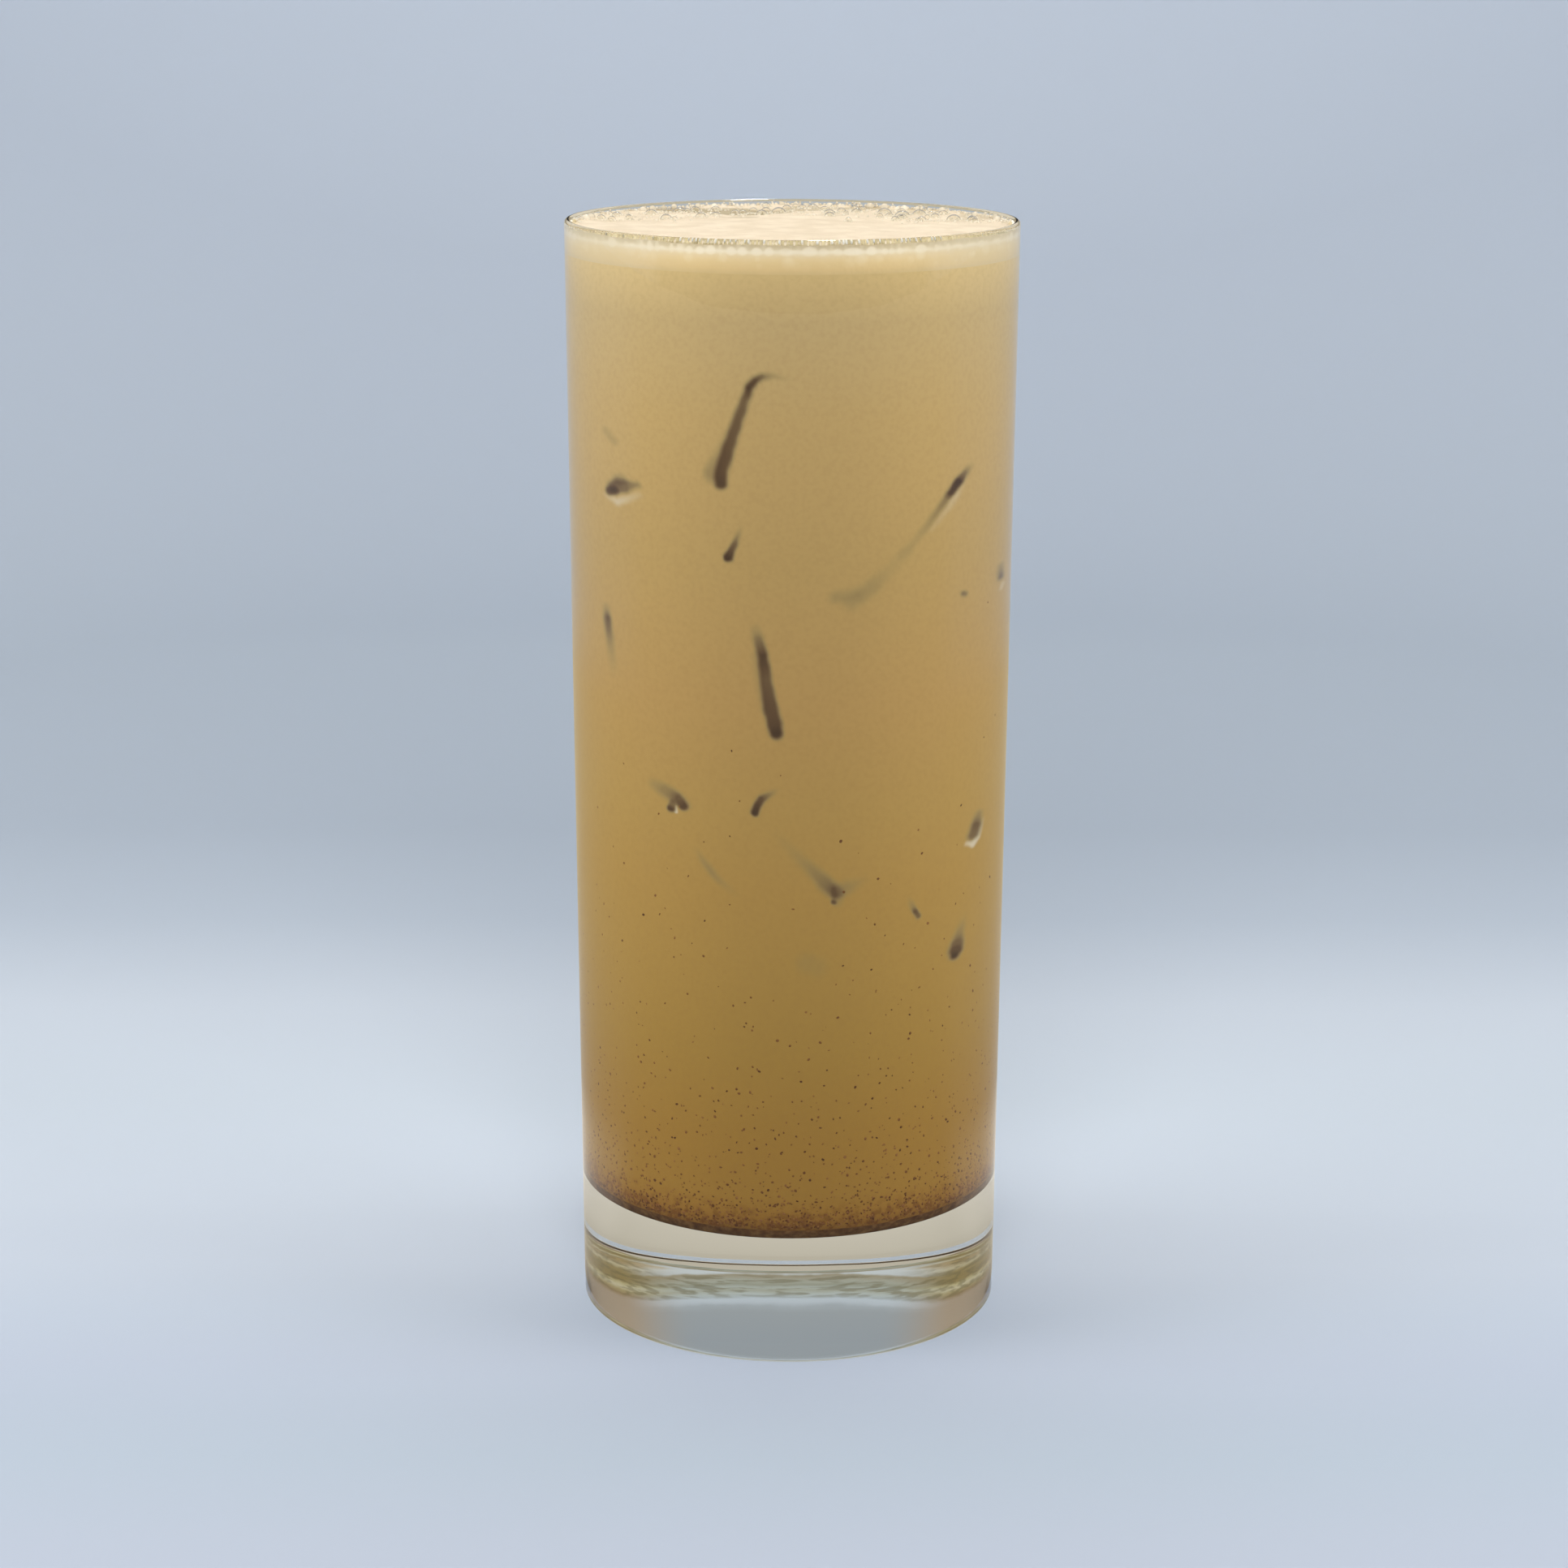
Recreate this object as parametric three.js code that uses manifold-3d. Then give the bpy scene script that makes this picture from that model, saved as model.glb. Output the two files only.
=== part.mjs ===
// A tall straight glass with a thick clear foot, filled nearly to the brim with iced chai.
// Millimetres, +Z up, origin at the middle of the foot where the glass stands.
import * as THREE from 'three';
import { mergeVertices } from 'three/addons/utils/BufferGeometryUtils.js';
import Module from 'manifold-3d';

// Driving dimensions of the glass
const GLASS_HEIGHT = 160;
const RIM_RADIUS = 32.1;
const FOOT_RADIUS = 30.8;
const FLOOR_THICKNESS = 18;
const WALL_AT_RIM = 1.0;
const WALL_AT_FLOOR = 1.7;
const HEEL_ROUNDING = 0.3;
const CORNER_ROUNDING = 3.2;
const CONTACT_RING_INNER_RADIUS = 27;
const UNDERSIDE_HOLLOW = 0.5;

// Driving dimensions of what fills it
const FREE_RIM = 1.0;
const FOAM_DEPTH = 3.6;
const SPICE_DEPTH = 1.2;
const CLEARANCE = 0.3;

// Relief of the foam: soft swells, a lip that climbs the wall, and domes of larger bubbles
const SWELL_HEIGHT = 0.16;
const WALL_LIP_HEIGHT = 0.25;
const WALL_LIP_WIDTH = 1.4;
const WALL_BUBBLE_RADIUS = [0.45, 0.8];
const WALL_BUBBLE_COUNT = 48;
const BACK_BUBBLE_RADIUS = [0.55, 1.15];
const BACK_BUBBLE_COUNT = 56;
const BACK_ARC_DEGREES = [34, 148];
const BACK_BAND_WIDTH = 9;

// Fineness of the round shapes
const TURN_STEPS = 72;
const ROUNDING_STEPS = 6;
const FOAM_RINGS = 10;
const BUBBLE_SIDES = 6;
const BUBBLE_RINGS = 5;

const wasm = await Module();
wasm.setup();

// A small repeatable source of random numbers between 0 and 1
function makeRandom(seed) {
  let state = seed;
  return () => {
    state = (state * 1664525 + 1013904223) % 4294967296;
    return state / 4294967296;
  };
}

function between([low, high], share) {
  return low + (high - low) * share;
}

// Points of an arc in the profile plane, both ends included
function arc(centreRadius, centreHeight, radius, startDegrees, endDegrees, steps) {
  const points = [];
  for (let i = 0; i <= steps; i += 1) {
    const angle = THREE.MathUtils.degToRad(startDegrees + (endDegrees - startDegrees) * i / steps);
    points.push(new THREE.Vector2(
      centreRadius + radius * Math.cos(angle),
      centreHeight + radius * Math.sin(angle),
    ));
  }
  return points;
}

// A profile of radius and height, turned about the upright axis
function turned(profile, steps = TURN_STEPS) {
  const geometry = new THREE.LatheGeometry(profile, steps);
  geometry.rotateX(Math.PI / 2);
  return geometry;
}

function named(name, geometry, look) {
  const mesh = new THREE.Mesh(geometry, new THREE.MeshStandardMaterial(look));
  mesh.name = name;
  return mesh;
}

// Outer wall: one straight taper from foot to rim
function outerRadius(height) {
  return FOOT_RADIUS + (RIM_RADIUS - FOOT_RADIUS) * height / GLASS_HEIGHT;
}

// Radius of the hollow at a height, kept a clearance off the wall and the rounded corner
function hollowRadius(height, clearance = 0) {
  const share = (height - FLOOR_THICKNESS) / (GLASS_HEIGHT - FLOOR_THICKNESS);
  const wall = WALL_AT_FLOOR + (WALL_AT_RIM - WALL_AT_FLOOR) * share;
  const cornerTop = FLOOR_THICKNESS + CORNER_ROUNDING;
  if (height >= cornerTop) {
    return outerRadius(height) - wall - clearance;
  }
  const rounding = CORNER_ROUNDING - clearance;
  const centre = hollowRadius(cornerTop) - CORNER_ROUNDING;
  return centre + Math.sqrt(Math.max(0, rounding ** 2 - (cornerTop - height) ** 2));
}

// Heights from one level to another, close together where the corner is rounded
function levels(low, high) {
  const cornerTop = FLOOR_THICKNESS + CORNER_ROUNDING;
  const heights = [low];
  for (let i = 1; i < ROUNDING_STEPS; i += 1) {
    const height = low + (Math.min(cornerTop, high) - low) * i / ROUNDING_STEPS;
    if (low < cornerTop) {
      heights.push(height);
    }
  }
  if (high > cornerTop && low < cornerTop) {
    heights.push(cornerTop);
  }
  heights.push(high);
  return heights;
}

// The glass: foot, heel, wall, rounded rim and hollow in one turned solid
function makeGlass() {
  const heelCentre = outerRadius(HEEL_ROUNDING) - HEEL_ROUNDING;
  const rimRounding = WALL_AT_RIM / 2;
  const cornerTop = FLOOR_THICKNESS + CORNER_ROUNDING;
  const cornerCentre = hollowRadius(cornerTop) - CORNER_ROUNDING;
  const profile = [
    new THREE.Vector2(0, UNDERSIDE_HOLLOW),
    new THREE.Vector2(CONTACT_RING_INNER_RADIUS * 0.5, UNDERSIDE_HOLLOW * 0.75),
    new THREE.Vector2(CONTACT_RING_INNER_RADIUS, 0),
    ...arc(heelCentre, HEEL_ROUNDING, HEEL_ROUNDING, -90, 0, ROUNDING_STEPS),
    ...arc(RIM_RADIUS - rimRounding, GLASS_HEIGHT - rimRounding, rimRounding, 0, 180, ROUNDING_STEPS),
    ...arc(cornerCentre, cornerTop, CORNER_ROUNDING, 0, -90, ROUNDING_STEPS),
    new THREE.Vector2(0, FLOOR_THICKNESS),
  ];
  return turned(profile);
}

// A filling between two levels, out to a clearance from the wall
function makeFilling(low, high) {
  const profile = [new THREE.Vector2(0, low)];
  for (const height of levels(low, high)) {
    profile.push(new THREE.Vector2(hollowRadius(height, CLEARANCE), height));
  }
  profile.push(new THREE.Vector2(0, high));
  return turned(profile);
}

// Height of the foam's fine skin above its mean level
function foamRelief(x, y, edgeRadius) {
  const swell = Math.sin(x * 0.31 + 0.6) * Math.cos(y * 0.27 - 0.4)
    + 0.6 * Math.sin(x * 0.17 - y * 0.42 + 1.9)
    + 0.4 * Math.cos(x * 0.58 + y * 0.33);
  const toEdge = (edgeRadius - Math.hypot(x, y)) / WALL_LIP_WIDTH;
  return SWELL_HEIGHT * swell / 2 + WALL_LIP_HEIGHT * Math.exp(-toEdge * toEdge);
}

function foamSlab(low, high) {
  const edgeRadius = hollowRadius(high, CLEARANCE);
  const profile = [new THREE.Vector2(0, low), new THREE.Vector2(hollowRadius(low, CLEARANCE), low)];
  for (let ring = FOAM_RINGS; ring >= 0; ring -= 1) {
    profile.push(new THREE.Vector2(edgeRadius * ring / FOAM_RINGS, high));
  }
  const geometry = turned(profile);
  const places = geometry.attributes.position;
  for (let i = 0; i < places.count; i += 1) {
    if (places.getZ(i) > (low + high) / 2) {
      places.setZ(i, high + foamRelief(places.getX(i), places.getY(i), edgeRadius));
    }
  }
  return geometry;
}

// Places for the larger bubbles: one row along the wall and a wet patch at the back
function bubblePlaces(edgeRadius) {
  const random = makeRandom(41);
  const places = [];
  const add = (radius, distance, angle) => {
    const x = distance * Math.cos(angle);
    const y = distance * Math.sin(angle);
    const free = places.every((other) => Math.hypot(other.x - x, other.y - y) > 0.95 * (other.radius + radius));
    if (free) {
      places.push({ x, y, radius });
    }
  };
  for (let i = 0; i < WALL_BUBBLE_COUNT; i += 1) {
    const radius = between(WALL_BUBBLE_RADIUS, random());
    const angle = 2 * Math.PI * (i + 0.6 * random()) / WALL_BUBBLE_COUNT;
    add(radius, edgeRadius - radius - 0.1, angle);
  }
  const row = places.length;
  for (let tries = 0; tries < 2000 && places.length < row + BACK_BUBBLE_COUNT; tries += 1) {
    const radius = between(BACK_BUBBLE_RADIUS, random());
    const inward = BACK_BAND_WIDTH * random() * random();
    const angle = THREE.MathUtils.degToRad(between(BACK_ARC_DEGREES, random()));
    add(radius, edgeRadius - 1.8 - radius - inward, angle);
  }
  return places;
}

function toSolid(geometry) {
  const bare = geometry.clone();
  bare.deleteAttribute('normal');
  bare.deleteAttribute('uv');
  const merged = mergeVertices(bare, 1e-4);
  return new wasm.Manifold(new wasm.Mesh({
    numProp: 3,
    vertProperties: new Float32Array(merged.attributes.position.array),
    triVerts: new Uint32Array(merged.index.array),
  }));
}

function toGeometry(solid) {
  const mesh = solid.getMesh();
  const geometry = new THREE.BufferGeometry();
  geometry.setAttribute('position', new THREE.BufferAttribute(mesh.vertProperties, 3));
  geometry.setIndex(new THREE.BufferAttribute(mesh.triVerts, 1));
  geometry.computeVertexNormals();
  return geometry;
}

// The foam: a soft slab with the larger bubbles standing out of it as low domes
function makeFoam(low, high) {
  const edgeRadius = hollowRadius(high, CLEARANCE);
  let foam = toSolid(foamSlab(low, high));
  for (const { x, y, radius } of bubblePlaces(edgeRadius)) {
    const dome = new THREE.SphereGeometry(radius, BUBBLE_SIDES, BUBBLE_RINGS);
    dome.rotateX(Math.PI / 2);
    dome.rotateZ(x + y);
    dome.translate(x, y, high + foamRelief(x, y, edgeRadius) - 0.45 * radius);
    foam = foam.add(toSolid(dome));
  }
  return toGeometry(foam);
}

// Levels, from the floor of the glass up
const spiceLow = FLOOR_THICKNESS + CLEARANCE;
const spiceHigh = spiceLow + SPICE_DEPTH;
const foamHigh = GLASS_HEIGHT - FREE_RIM;
const foamLow = foamHigh - FOAM_DEPTH;
const chaiLow = spiceHigh + CLEARANCE;
const chaiHigh = foamLow - CLEARANCE;

const drink = new THREE.Group();
drink.add(named('settled_spice', makeFilling(spiceLow, spiceHigh), {
  color: 0x4a2c1a, roughness: 0.6, metalness: 0,
}));
drink.add(named('chai', makeFilling(chaiLow, chaiHigh), {
  color: 0xa8864e, roughness: 0.35, metalness: 0,
}));
drink.add(named('foam', makeFoam(foamLow, foamHigh), {
  color: 0xf4e4c8, roughness: 0.7, metalness: 0,
}));

const icedChai = new THREE.Group();
icedChai.add(named('glass', makeGlass(), {
  color: 0xe6efee, roughness: 0.04, metalness: 0, transparent: true, opacity: 0.3,
}));
icedChai.add(drink);

export default icedChai;
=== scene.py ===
import math
import random

import bpy
from mathutils import Matrix, Vector, noise


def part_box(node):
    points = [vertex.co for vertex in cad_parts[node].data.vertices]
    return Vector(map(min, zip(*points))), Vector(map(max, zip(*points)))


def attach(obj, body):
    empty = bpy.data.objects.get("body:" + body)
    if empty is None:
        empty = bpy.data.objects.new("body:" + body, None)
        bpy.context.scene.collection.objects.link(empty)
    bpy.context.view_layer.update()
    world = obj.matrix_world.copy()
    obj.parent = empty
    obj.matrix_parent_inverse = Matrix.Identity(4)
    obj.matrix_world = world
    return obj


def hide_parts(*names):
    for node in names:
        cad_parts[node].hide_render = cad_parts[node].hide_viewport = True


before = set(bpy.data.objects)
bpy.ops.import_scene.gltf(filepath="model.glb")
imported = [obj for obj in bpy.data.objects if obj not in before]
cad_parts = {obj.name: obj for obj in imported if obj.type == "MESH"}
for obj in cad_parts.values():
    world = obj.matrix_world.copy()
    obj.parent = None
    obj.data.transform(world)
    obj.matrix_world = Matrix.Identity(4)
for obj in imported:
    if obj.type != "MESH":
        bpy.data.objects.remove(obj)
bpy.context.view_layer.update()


# The glass: a tall tumbler of clear soda-lime glass, pressed in one piece and fire-polished.
# A thick foot with a rounded heel stands on a flat ring, and the wall thins evenly up to a
# round rim.
MM = 0.001
CLEARANCE = 0.3 * MM
_, glass_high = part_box("glass")
spice_low, spice_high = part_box("settled_spice")
foam_low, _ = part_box("foam")
GLASS_HEIGHT = glass_high.z
RIM_RADIUS = glass_high.x
FOOT_RADIUS = 30.8 * MM
FLOOR_HEIGHT = spice_low.z - CLEARANCE
WALL_AT_RIM = 1.0 * MM
WALL_AT_FLOOR = 1.7 * MM
HEEL_ROUNDING = 0.3 * MM
CORNER_ROUNDING = 3.2 * MM
STANDING_RING_RADIUS = 27.0 * MM
UNDERSIDE_HOLLOW = 0.5 * MM
GLASS_STEPS = 256
HOLLOW_STEPS = 12
HEEL_STEPS = 12
ROUNDING_STEPS = 16
MERGE_DISTANCE = 0.001 * MM


def outer_radius(height):
    return FOOT_RADIUS + (RIM_RADIUS - FOOT_RADIUS) * height / GLASS_HEIGHT


def inner_radius(height):
    """Radius of the hollow at a height, with the rounded corner at the floor."""
    corner_top = FLOOR_HEIGHT + CORNER_ROUNDING
    level = max(height, corner_top)
    share = (level - FLOOR_HEIGHT) / (GLASS_HEIGHT - FLOOR_HEIGHT)
    radius = outer_radius(level) - WALL_AT_FLOOR - (WALL_AT_RIM - WALL_AT_FLOOR) * share
    drop = min(CORNER_ROUNDING, level - height)
    return radius - CORNER_ROUNDING + math.sqrt(CORNER_ROUNDING ** 2 - drop ** 2)


def arc(radius, height, rounding, start, end, steps):
    """Points of a rounded corner in the profile, about a centre at that radius and height."""
    angles = [math.radians(start + (end - start) * i / steps) for i in range(steps + 1)]
    return [(radius + rounding * math.cos(a), height + rounding * math.sin(a)) for a in angles]


def turned(name, profile, steps):
    """A piece made as on a lathe: one profile drawn point by point and spun about the axis."""
    bpy.ops.object.select_all(action="DESELECT")
    bpy.ops.mesh.primitive_plane_add(size=MM)
    piece = bpy.context.object
    piece.name = name
    bpy.ops.object.mode_set(mode="EDIT")
    bpy.ops.mesh.select_mode(type="VERT")
    bpy.ops.mesh.select_all(action="SELECT")
    bpy.ops.mesh.merge(type="CENTER")
    radius, height = profile[0]
    bpy.ops.transform.translate(value=(radius, 0, height))
    for next_radius, next_height in profile[1:]:
        step = (next_radius - radius, 0, next_height - height)
        bpy.ops.mesh.extrude_vertices_move(TRANSFORM_OT_translate={"value": step})
        radius, height = next_radius, next_height
    bpy.ops.mesh.select_all(action="SELECT")
    bpy.ops.mesh.spin(steps=steps, angle=2 * math.pi, center=(0, 0, 0), axis=(0, 0, 1))
    bpy.ops.mesh.select_all(action="SELECT")
    bpy.ops.mesh.remove_doubles(threshold=MERGE_DISTANCE)
    bpy.ops.mesh.normals_make_consistent(inside=False)
    bpy.ops.object.mode_set(mode="OBJECT")
    bpy.ops.object.shade_smooth()
    return piece


def new_material(name):
    """A new material, its node tree and its shader."""
    material = bpy.data.materials.new(name)
    material.use_nodes = True
    tree = material.node_tree
    return material, tree, tree.nodes["Principled BSDF"]


def object_place(tree):
    return tree.nodes.new("ShaderNodeTexCoord").outputs["Object"]


def object_texture(tree, kind, scale):
    """A procedural texture node on Object coordinates."""
    texture = tree.nodes.new(kind)
    tree.links.new(object_place(tree), texture.inputs["Vector"])
    texture.inputs["Scale"].default_value = scale
    return texture


def cloudy(tree, scale, detail):
    """Cloudy noise on Object coordinates, as a value."""
    texture = object_texture(tree, "ShaderNodeTexNoise", scale)
    texture.inputs["Detail"].default_value = detail
    return texture.outputs["Fac"]


def add_bump(tree, shader, height, strength, distance):
    bump = tree.nodes.new("ShaderNodeBump")
    bump.inputs["Strength"].default_value = strength
    bump.inputs["Distance"].default_value = distance
    tree.links.new(height, bump.inputs["Height"])
    tree.links.new(bump.outputs["Normal"], shader.inputs["Normal"])


def mixed_shader(tree, factor, first, second):
    mix = tree.nodes.new("ShaderNodeMixShader")
    tree.links.new(factor, mix.inputs["Fac"])
    tree.links.new(first, mix.inputs[1])
    tree.links.new(second, mix.inputs[2])
    return mix.outputs["Shader"]


def make_clear_material(name, tint, ior, waviness):
    """A clear stuff with slight waviness. Lamps and soft light pass it unbent."""
    material, tree, clear = new_material(name)
    clear.inputs["Base Color"].default_value = tint
    clear.inputs["Transmission Weight"].default_value = 1
    clear.inputs["Roughness"].default_value = 0.0
    clear.inputs["IOR"].default_value = ior
    add_bump(tree, clear, cloudy(tree, 90, 1.0), waviness, 0.4 * MM)
    path = tree.nodes.new("ShaderNodeLightPath")
    unbent = tree.nodes.new("ShaderNodeBsdfTransparent")
    unbent.inputs["Color"].default_value = (0.95, 0.965, 0.955, 1)
    surface = clear.outputs["BSDF"]
    for ray in ("Is Diffuse Ray", "Is Shadow Ray"):
        surface = mixed_shader(tree, path.outputs[ray], surface, unbent.outputs["BSDF"])
    tree.links.new(surface, tree.nodes["Material Output"].inputs["Surface"])
    return material


def hollow_underside(radius):
    return UNDERSIDE_HOLLOW * (1 - (radius / STANDING_RING_RADIUS) ** 2)


heel_centre = outer_radius(HEEL_ROUNDING) - HEEL_ROUNDING
rim_rounding = WALL_AT_RIM / 2
corner_top = FLOOR_HEIGHT + CORNER_ROUNDING
corner_centre = inner_radius(corner_top) - CORNER_ROUNDING
hollow_radii = [STANDING_RING_RADIUS * i / HOLLOW_STEPS for i in range(HOLLOW_STEPS + 1)]
glass = turned(
    "tumbler",
    [(radius, hollow_underside(radius)) for radius in hollow_radii]
    + arc(heel_centre, HEEL_ROUNDING, HEEL_ROUNDING, -90, 0, HEEL_STEPS)
    + arc(RIM_RADIUS - rim_rounding, GLASS_HEIGHT - rim_rounding, rim_rounding, 0, 180, ROUNDING_STEPS)
    + arc(corner_centre, corner_top, CORNER_ROUNDING, 0, -90, ROUNDING_STEPS)
    + [(0, FLOOR_HEIGHT)],
    GLASS_STEPS,
)
glass.data.materials.append(make_clear_material("clear_glass", (0.975, 0.98, 0.95, 1), 1.52, 0.03))
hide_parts("glass")
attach(glass, "root")


# The settled spice: ground spice that has sunk and lies as a thin dark layer on the floor of
# the glass, packed into its rounded corner.
WETTING = 0.08 * MM
SPICE_TOP = spice_high.z + CLEARANCE
FILL_STEPS = 288
SPICE_ROWS = 8
EDGE_ANGLE = math.radians(40)


def display(red, green, blue):
    """A colour as a screen shows it, 0 to 255, as the linear colour that a shader takes."""
    def linear(value):
        share = value / 255
        return share / 12.92 if share <= 0.04045 else ((share + 0.055) / 1.055) ** 2.4
    return (linear(red), linear(green), linear(blue), 1)


def colour_ramp(tree, source, stops):
    """A ramp over a value from 0 to 1. A stop is a position with a screen colour or a plain grey."""
    ramp = tree.nodes.new("ShaderNodeValToRGB")
    tree.links.new(source, ramp.inputs["Fac"])
    elements = ramp.color_ramp.elements

    def fill(element, colour):
        element.color = display(*colour) if len(colour) == 3 else (*(colour * 3), 1)

    for element, (position, *colour) in ((elements[0], stops[0]), (elements[1], stops[-1])):
        element.position = position
        fill(element, colour)
    for position, *colour in stops[1:-1]:
        fill(elements.new(position), colour)
    return ramp.outputs["Color"]


def mixed(tree, factor, first, second):
    """Two colours mixed by a factor. Each is an output, or a plain colour."""
    mix = tree.nodes.new("ShaderNodeMix")
    mix.data_type = "RGBA"
    for socket, value in ((mix.inputs[6], first), (mix.inputs[7], second)):
        if isinstance(value, tuple):
            socket.default_value = value
        else:
            tree.links.new(value, socket)
    tree.links.new(factor, mix.inputs[0])
    return mix.outputs[2]


def spread(tree, source, low, high, new_low=0.0, new_high=1.0, kind="SMOOTHSTEP"):
    """A value between two limits brought to another range, and held there."""
    reach = tree.nodes.new("ShaderNodeMapRange")
    reach.interpolation_type = kind
    tree.links.new(source, reach.inputs["Value"])
    reach.inputs["From Min"].default_value = low
    reach.inputs["From Max"].default_value = high
    reach.inputs["To Min"].default_value = new_low
    reach.inputs["To Max"].default_value = new_high
    return reach.outputs["Result"]


def matt_material(name, roughness):
    """A new material without gloss, its node tree and its shader."""
    material, tree, shader = new_material(name)
    shader.inputs["Roughness"].default_value = roughness
    shader.inputs["Specular IOR Level"].default_value = 0.0
    return material, tree, shader


def make_spice_layer_material():
    material, tree, shader = matt_material("wet_ground_spice", 0.6)
    colour = colour_ramp(tree, cloudy(tree, 900, 4.0), [
        (0.3, 76, 44, 22), (0.5, 96, 62, 32), (0.72, 126, 88, 48)])
    tree.links.new(colour, shader.inputs["Base Color"])
    return material


spice_depth = SPICE_TOP - FLOOR_HEIGHT
spice_levels = [FLOOR_HEIGHT + spice_depth * (i + 1) / SPICE_ROWS for i in range(SPICE_ROWS)]
spice_layer = turned(
    "settled_spice_layer",
    [(0, FLOOR_HEIGHT - WETTING), (inner_radius(FLOOR_HEIGHT), FLOOR_HEIGHT - WETTING)]
    + [(inner_radius(level) + WETTING, level) for level in spice_levels]
    + [(0, SPICE_TOP)],
    FILL_STEPS,
)
bpy.ops.object.shade_smooth_by_angle(angle=EDGE_ANGLE)
spice_layer.data.materials.append(make_spice_layer_material())
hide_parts("settled_spice")
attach(spice_layer, "root")


# The ice: clear cubes with melted, rounded edges. They hang in the tea and press on the wall, and
# nearly all of each lies hidden in the tea.
ICE_BEVEL_STEPS = 4
# Each cube lies along the edge that comes nearest the glass. The two ends of that edge are given
# as degrees round from the front, height and depth behind the wall; then the roll about it in
# degrees, the two widths and the rounding. Lengths in millimetres.
ICE_CUBES = (
    ((-10.5, 139.8, 0.10), (-18.2, 127.8, 0.05), 25, 14.0, 15.0, 2.4),
    ((-56.0, 124.2, 0.15), (-42.0, 126.0, 0.30), -20, 12.0, 12.0, 2.4),
    ((-16.0, 117.2, 0.05), (-12.6, 121.0, 0.80), 30, 9.0, 10.0, 2.2),
    ((50.6, 127.6, 0.05), (20.0, 113.0, 0.90), 5, 12.0, 11.0, 2.2),
    ((50.4, 110.2, 0.05), (70.8, 111.2, 0.05), -35, 10.5, 11.5, 2.2),
    ((-8.0, 106.4, 0.15), (-3.6, 93.4, 0.05), -20, 23.0, 14.0, 2.4),
    ((-31.5, 81.6, 0.05), (-8.6, 82.4, 0.05), 15, 9.5, 10.0, 2.4),
    ((-24.0, 74.4, 0.50), (-15.0, 70.4, 0.80), -35, 8.5, 10.0, 2.4),
    ((12.0, 70.4, 0.10), (1.0, 77.2, 0.90), -30, 9.5, 11.0, 2.4),
    ((59.2, 76.0, 0.05), (50.6, 58.2, 0.05), 0, 14.0, 13.0, 2.4),
    ((120.0, 134.0, 0.05), (150.0, 128.0, 0.10), 0, 15.0, 15.0, 2.4),
    ((-120.0, 131.0, 0.05), (-112.0, 117.0, 0.10), 0, 15.0, 15.0, 2.4),
    ((165.0, 112.0, 0.05), (172.0, 98.0, 0.10), 0, 14.0, 14.0, 2.4),
    ((112.0, 100.0, 0.05), (104.0, 86.0, 0.10), 0, 15.0, 15.0, 2.4),
    ((-150.0, 99.0, 0.05), (-128.0, 91.0, 0.10), 0, 14.0, 14.0, 2.4),
    ((-92.0, 80.0, 0.05), (-100.0, 66.0, 0.10), 0, 15.0, 15.0, 2.4),
    ((150.0, 76.0, 0.05), (162.0, 63.0, 0.10), 0, 15.0, 15.0, 2.4),
)


def wall_place(angle, height, depth):
    """A point at an angle round from the front, behind the inner wall of the glass."""
    turn = math.radians(angle)
    radius = inner_radius(height * MM) - depth * MM
    return Vector((radius * math.sin(turn), -radius * math.cos(turn), height * MM))


def make_ice_cube(start, end, roll, width, thickness, rounding):
    """A block with melted edges, laid along the edge that lies nearest the glass."""
    first = wall_place(start[0], start[1], start[2] + rounding)
    second = wall_place(end[0], end[1], end[2] + rounding)
    along = (second - first).normalized()
    middle = (first + second) / 2
    inward = Vector((-middle.x, -middle.y, 0))
    inward = (inward - inward.dot(along) * along).normalized()
    across = Matrix.Rotation(math.radians(roll - 45), 3, along) @ inward
    upward = Matrix.Rotation(math.radians(roll + 45), 3, along) @ inward
    centre = (
        middle
        + across * (thickness / 2 - rounding) * MM
        + upward * (width / 2 - rounding) * MM
    )
    length = (second - first).length + 2 * rounding * MM
    bpy.ops.object.select_all(action="DESELECT")
    bpy.ops.mesh.primitive_cube_add(size=1)
    cube = bpy.context.object
    cube.scale = (length, thickness * MM, width * MM)
    bpy.ops.object.transform_apply(location=False, rotation=False, scale=True)
    bpy.ops.object.mode_set(mode="EDIT")
    bpy.ops.mesh.select_all(action="SELECT")
    bpy.ops.mesh.bevel(offset=rounding * MM, segments=ICE_BEVEL_STEPS, affect="EDGES")
    bpy.ops.object.mode_set(mode="OBJECT")
    bpy.ops.object.shade_smooth()
    turning = Matrix((along, across, upward)).transposed().to_4x4()
    cube.data.transform(Matrix.Translation(centre) @ turning)
    return cube


cubes = [make_ice_cube(*cube) for cube in ICE_CUBES]
bpy.ops.object.select_all(action="DESELECT")
for cube in cubes:
    cube.select_set(True)
ice = cubes[0]
bpy.context.view_layer.objects.active = ice
bpy.ops.object.join()
ice.name = "ice_cubes"
ice.data.materials.append(make_clear_material("clear_ice", (0.97, 0.985, 0.99, 1), 1.31, 0.2))
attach(ice, "root")


# The chai: milky tea that wets the wall of the glass, lighter under the foam and browner low down,
# partly its own colour with the spice that hangs low in it and partly painted light and shade. It is
# opaque, so the ice shows only where an edge or a corner lies close to the glass, as a dark mark that
# fades where the film of tea grows thicker, with painted light beside some edges.
CHAI_TOP = foam_low.z
CHAI_ROW = 0.9 * MM
FINE_CUTS = 3
# How far the fine mesh reaches past a mark, in millimetres
FINE_MARGIN = 0.6
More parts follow.
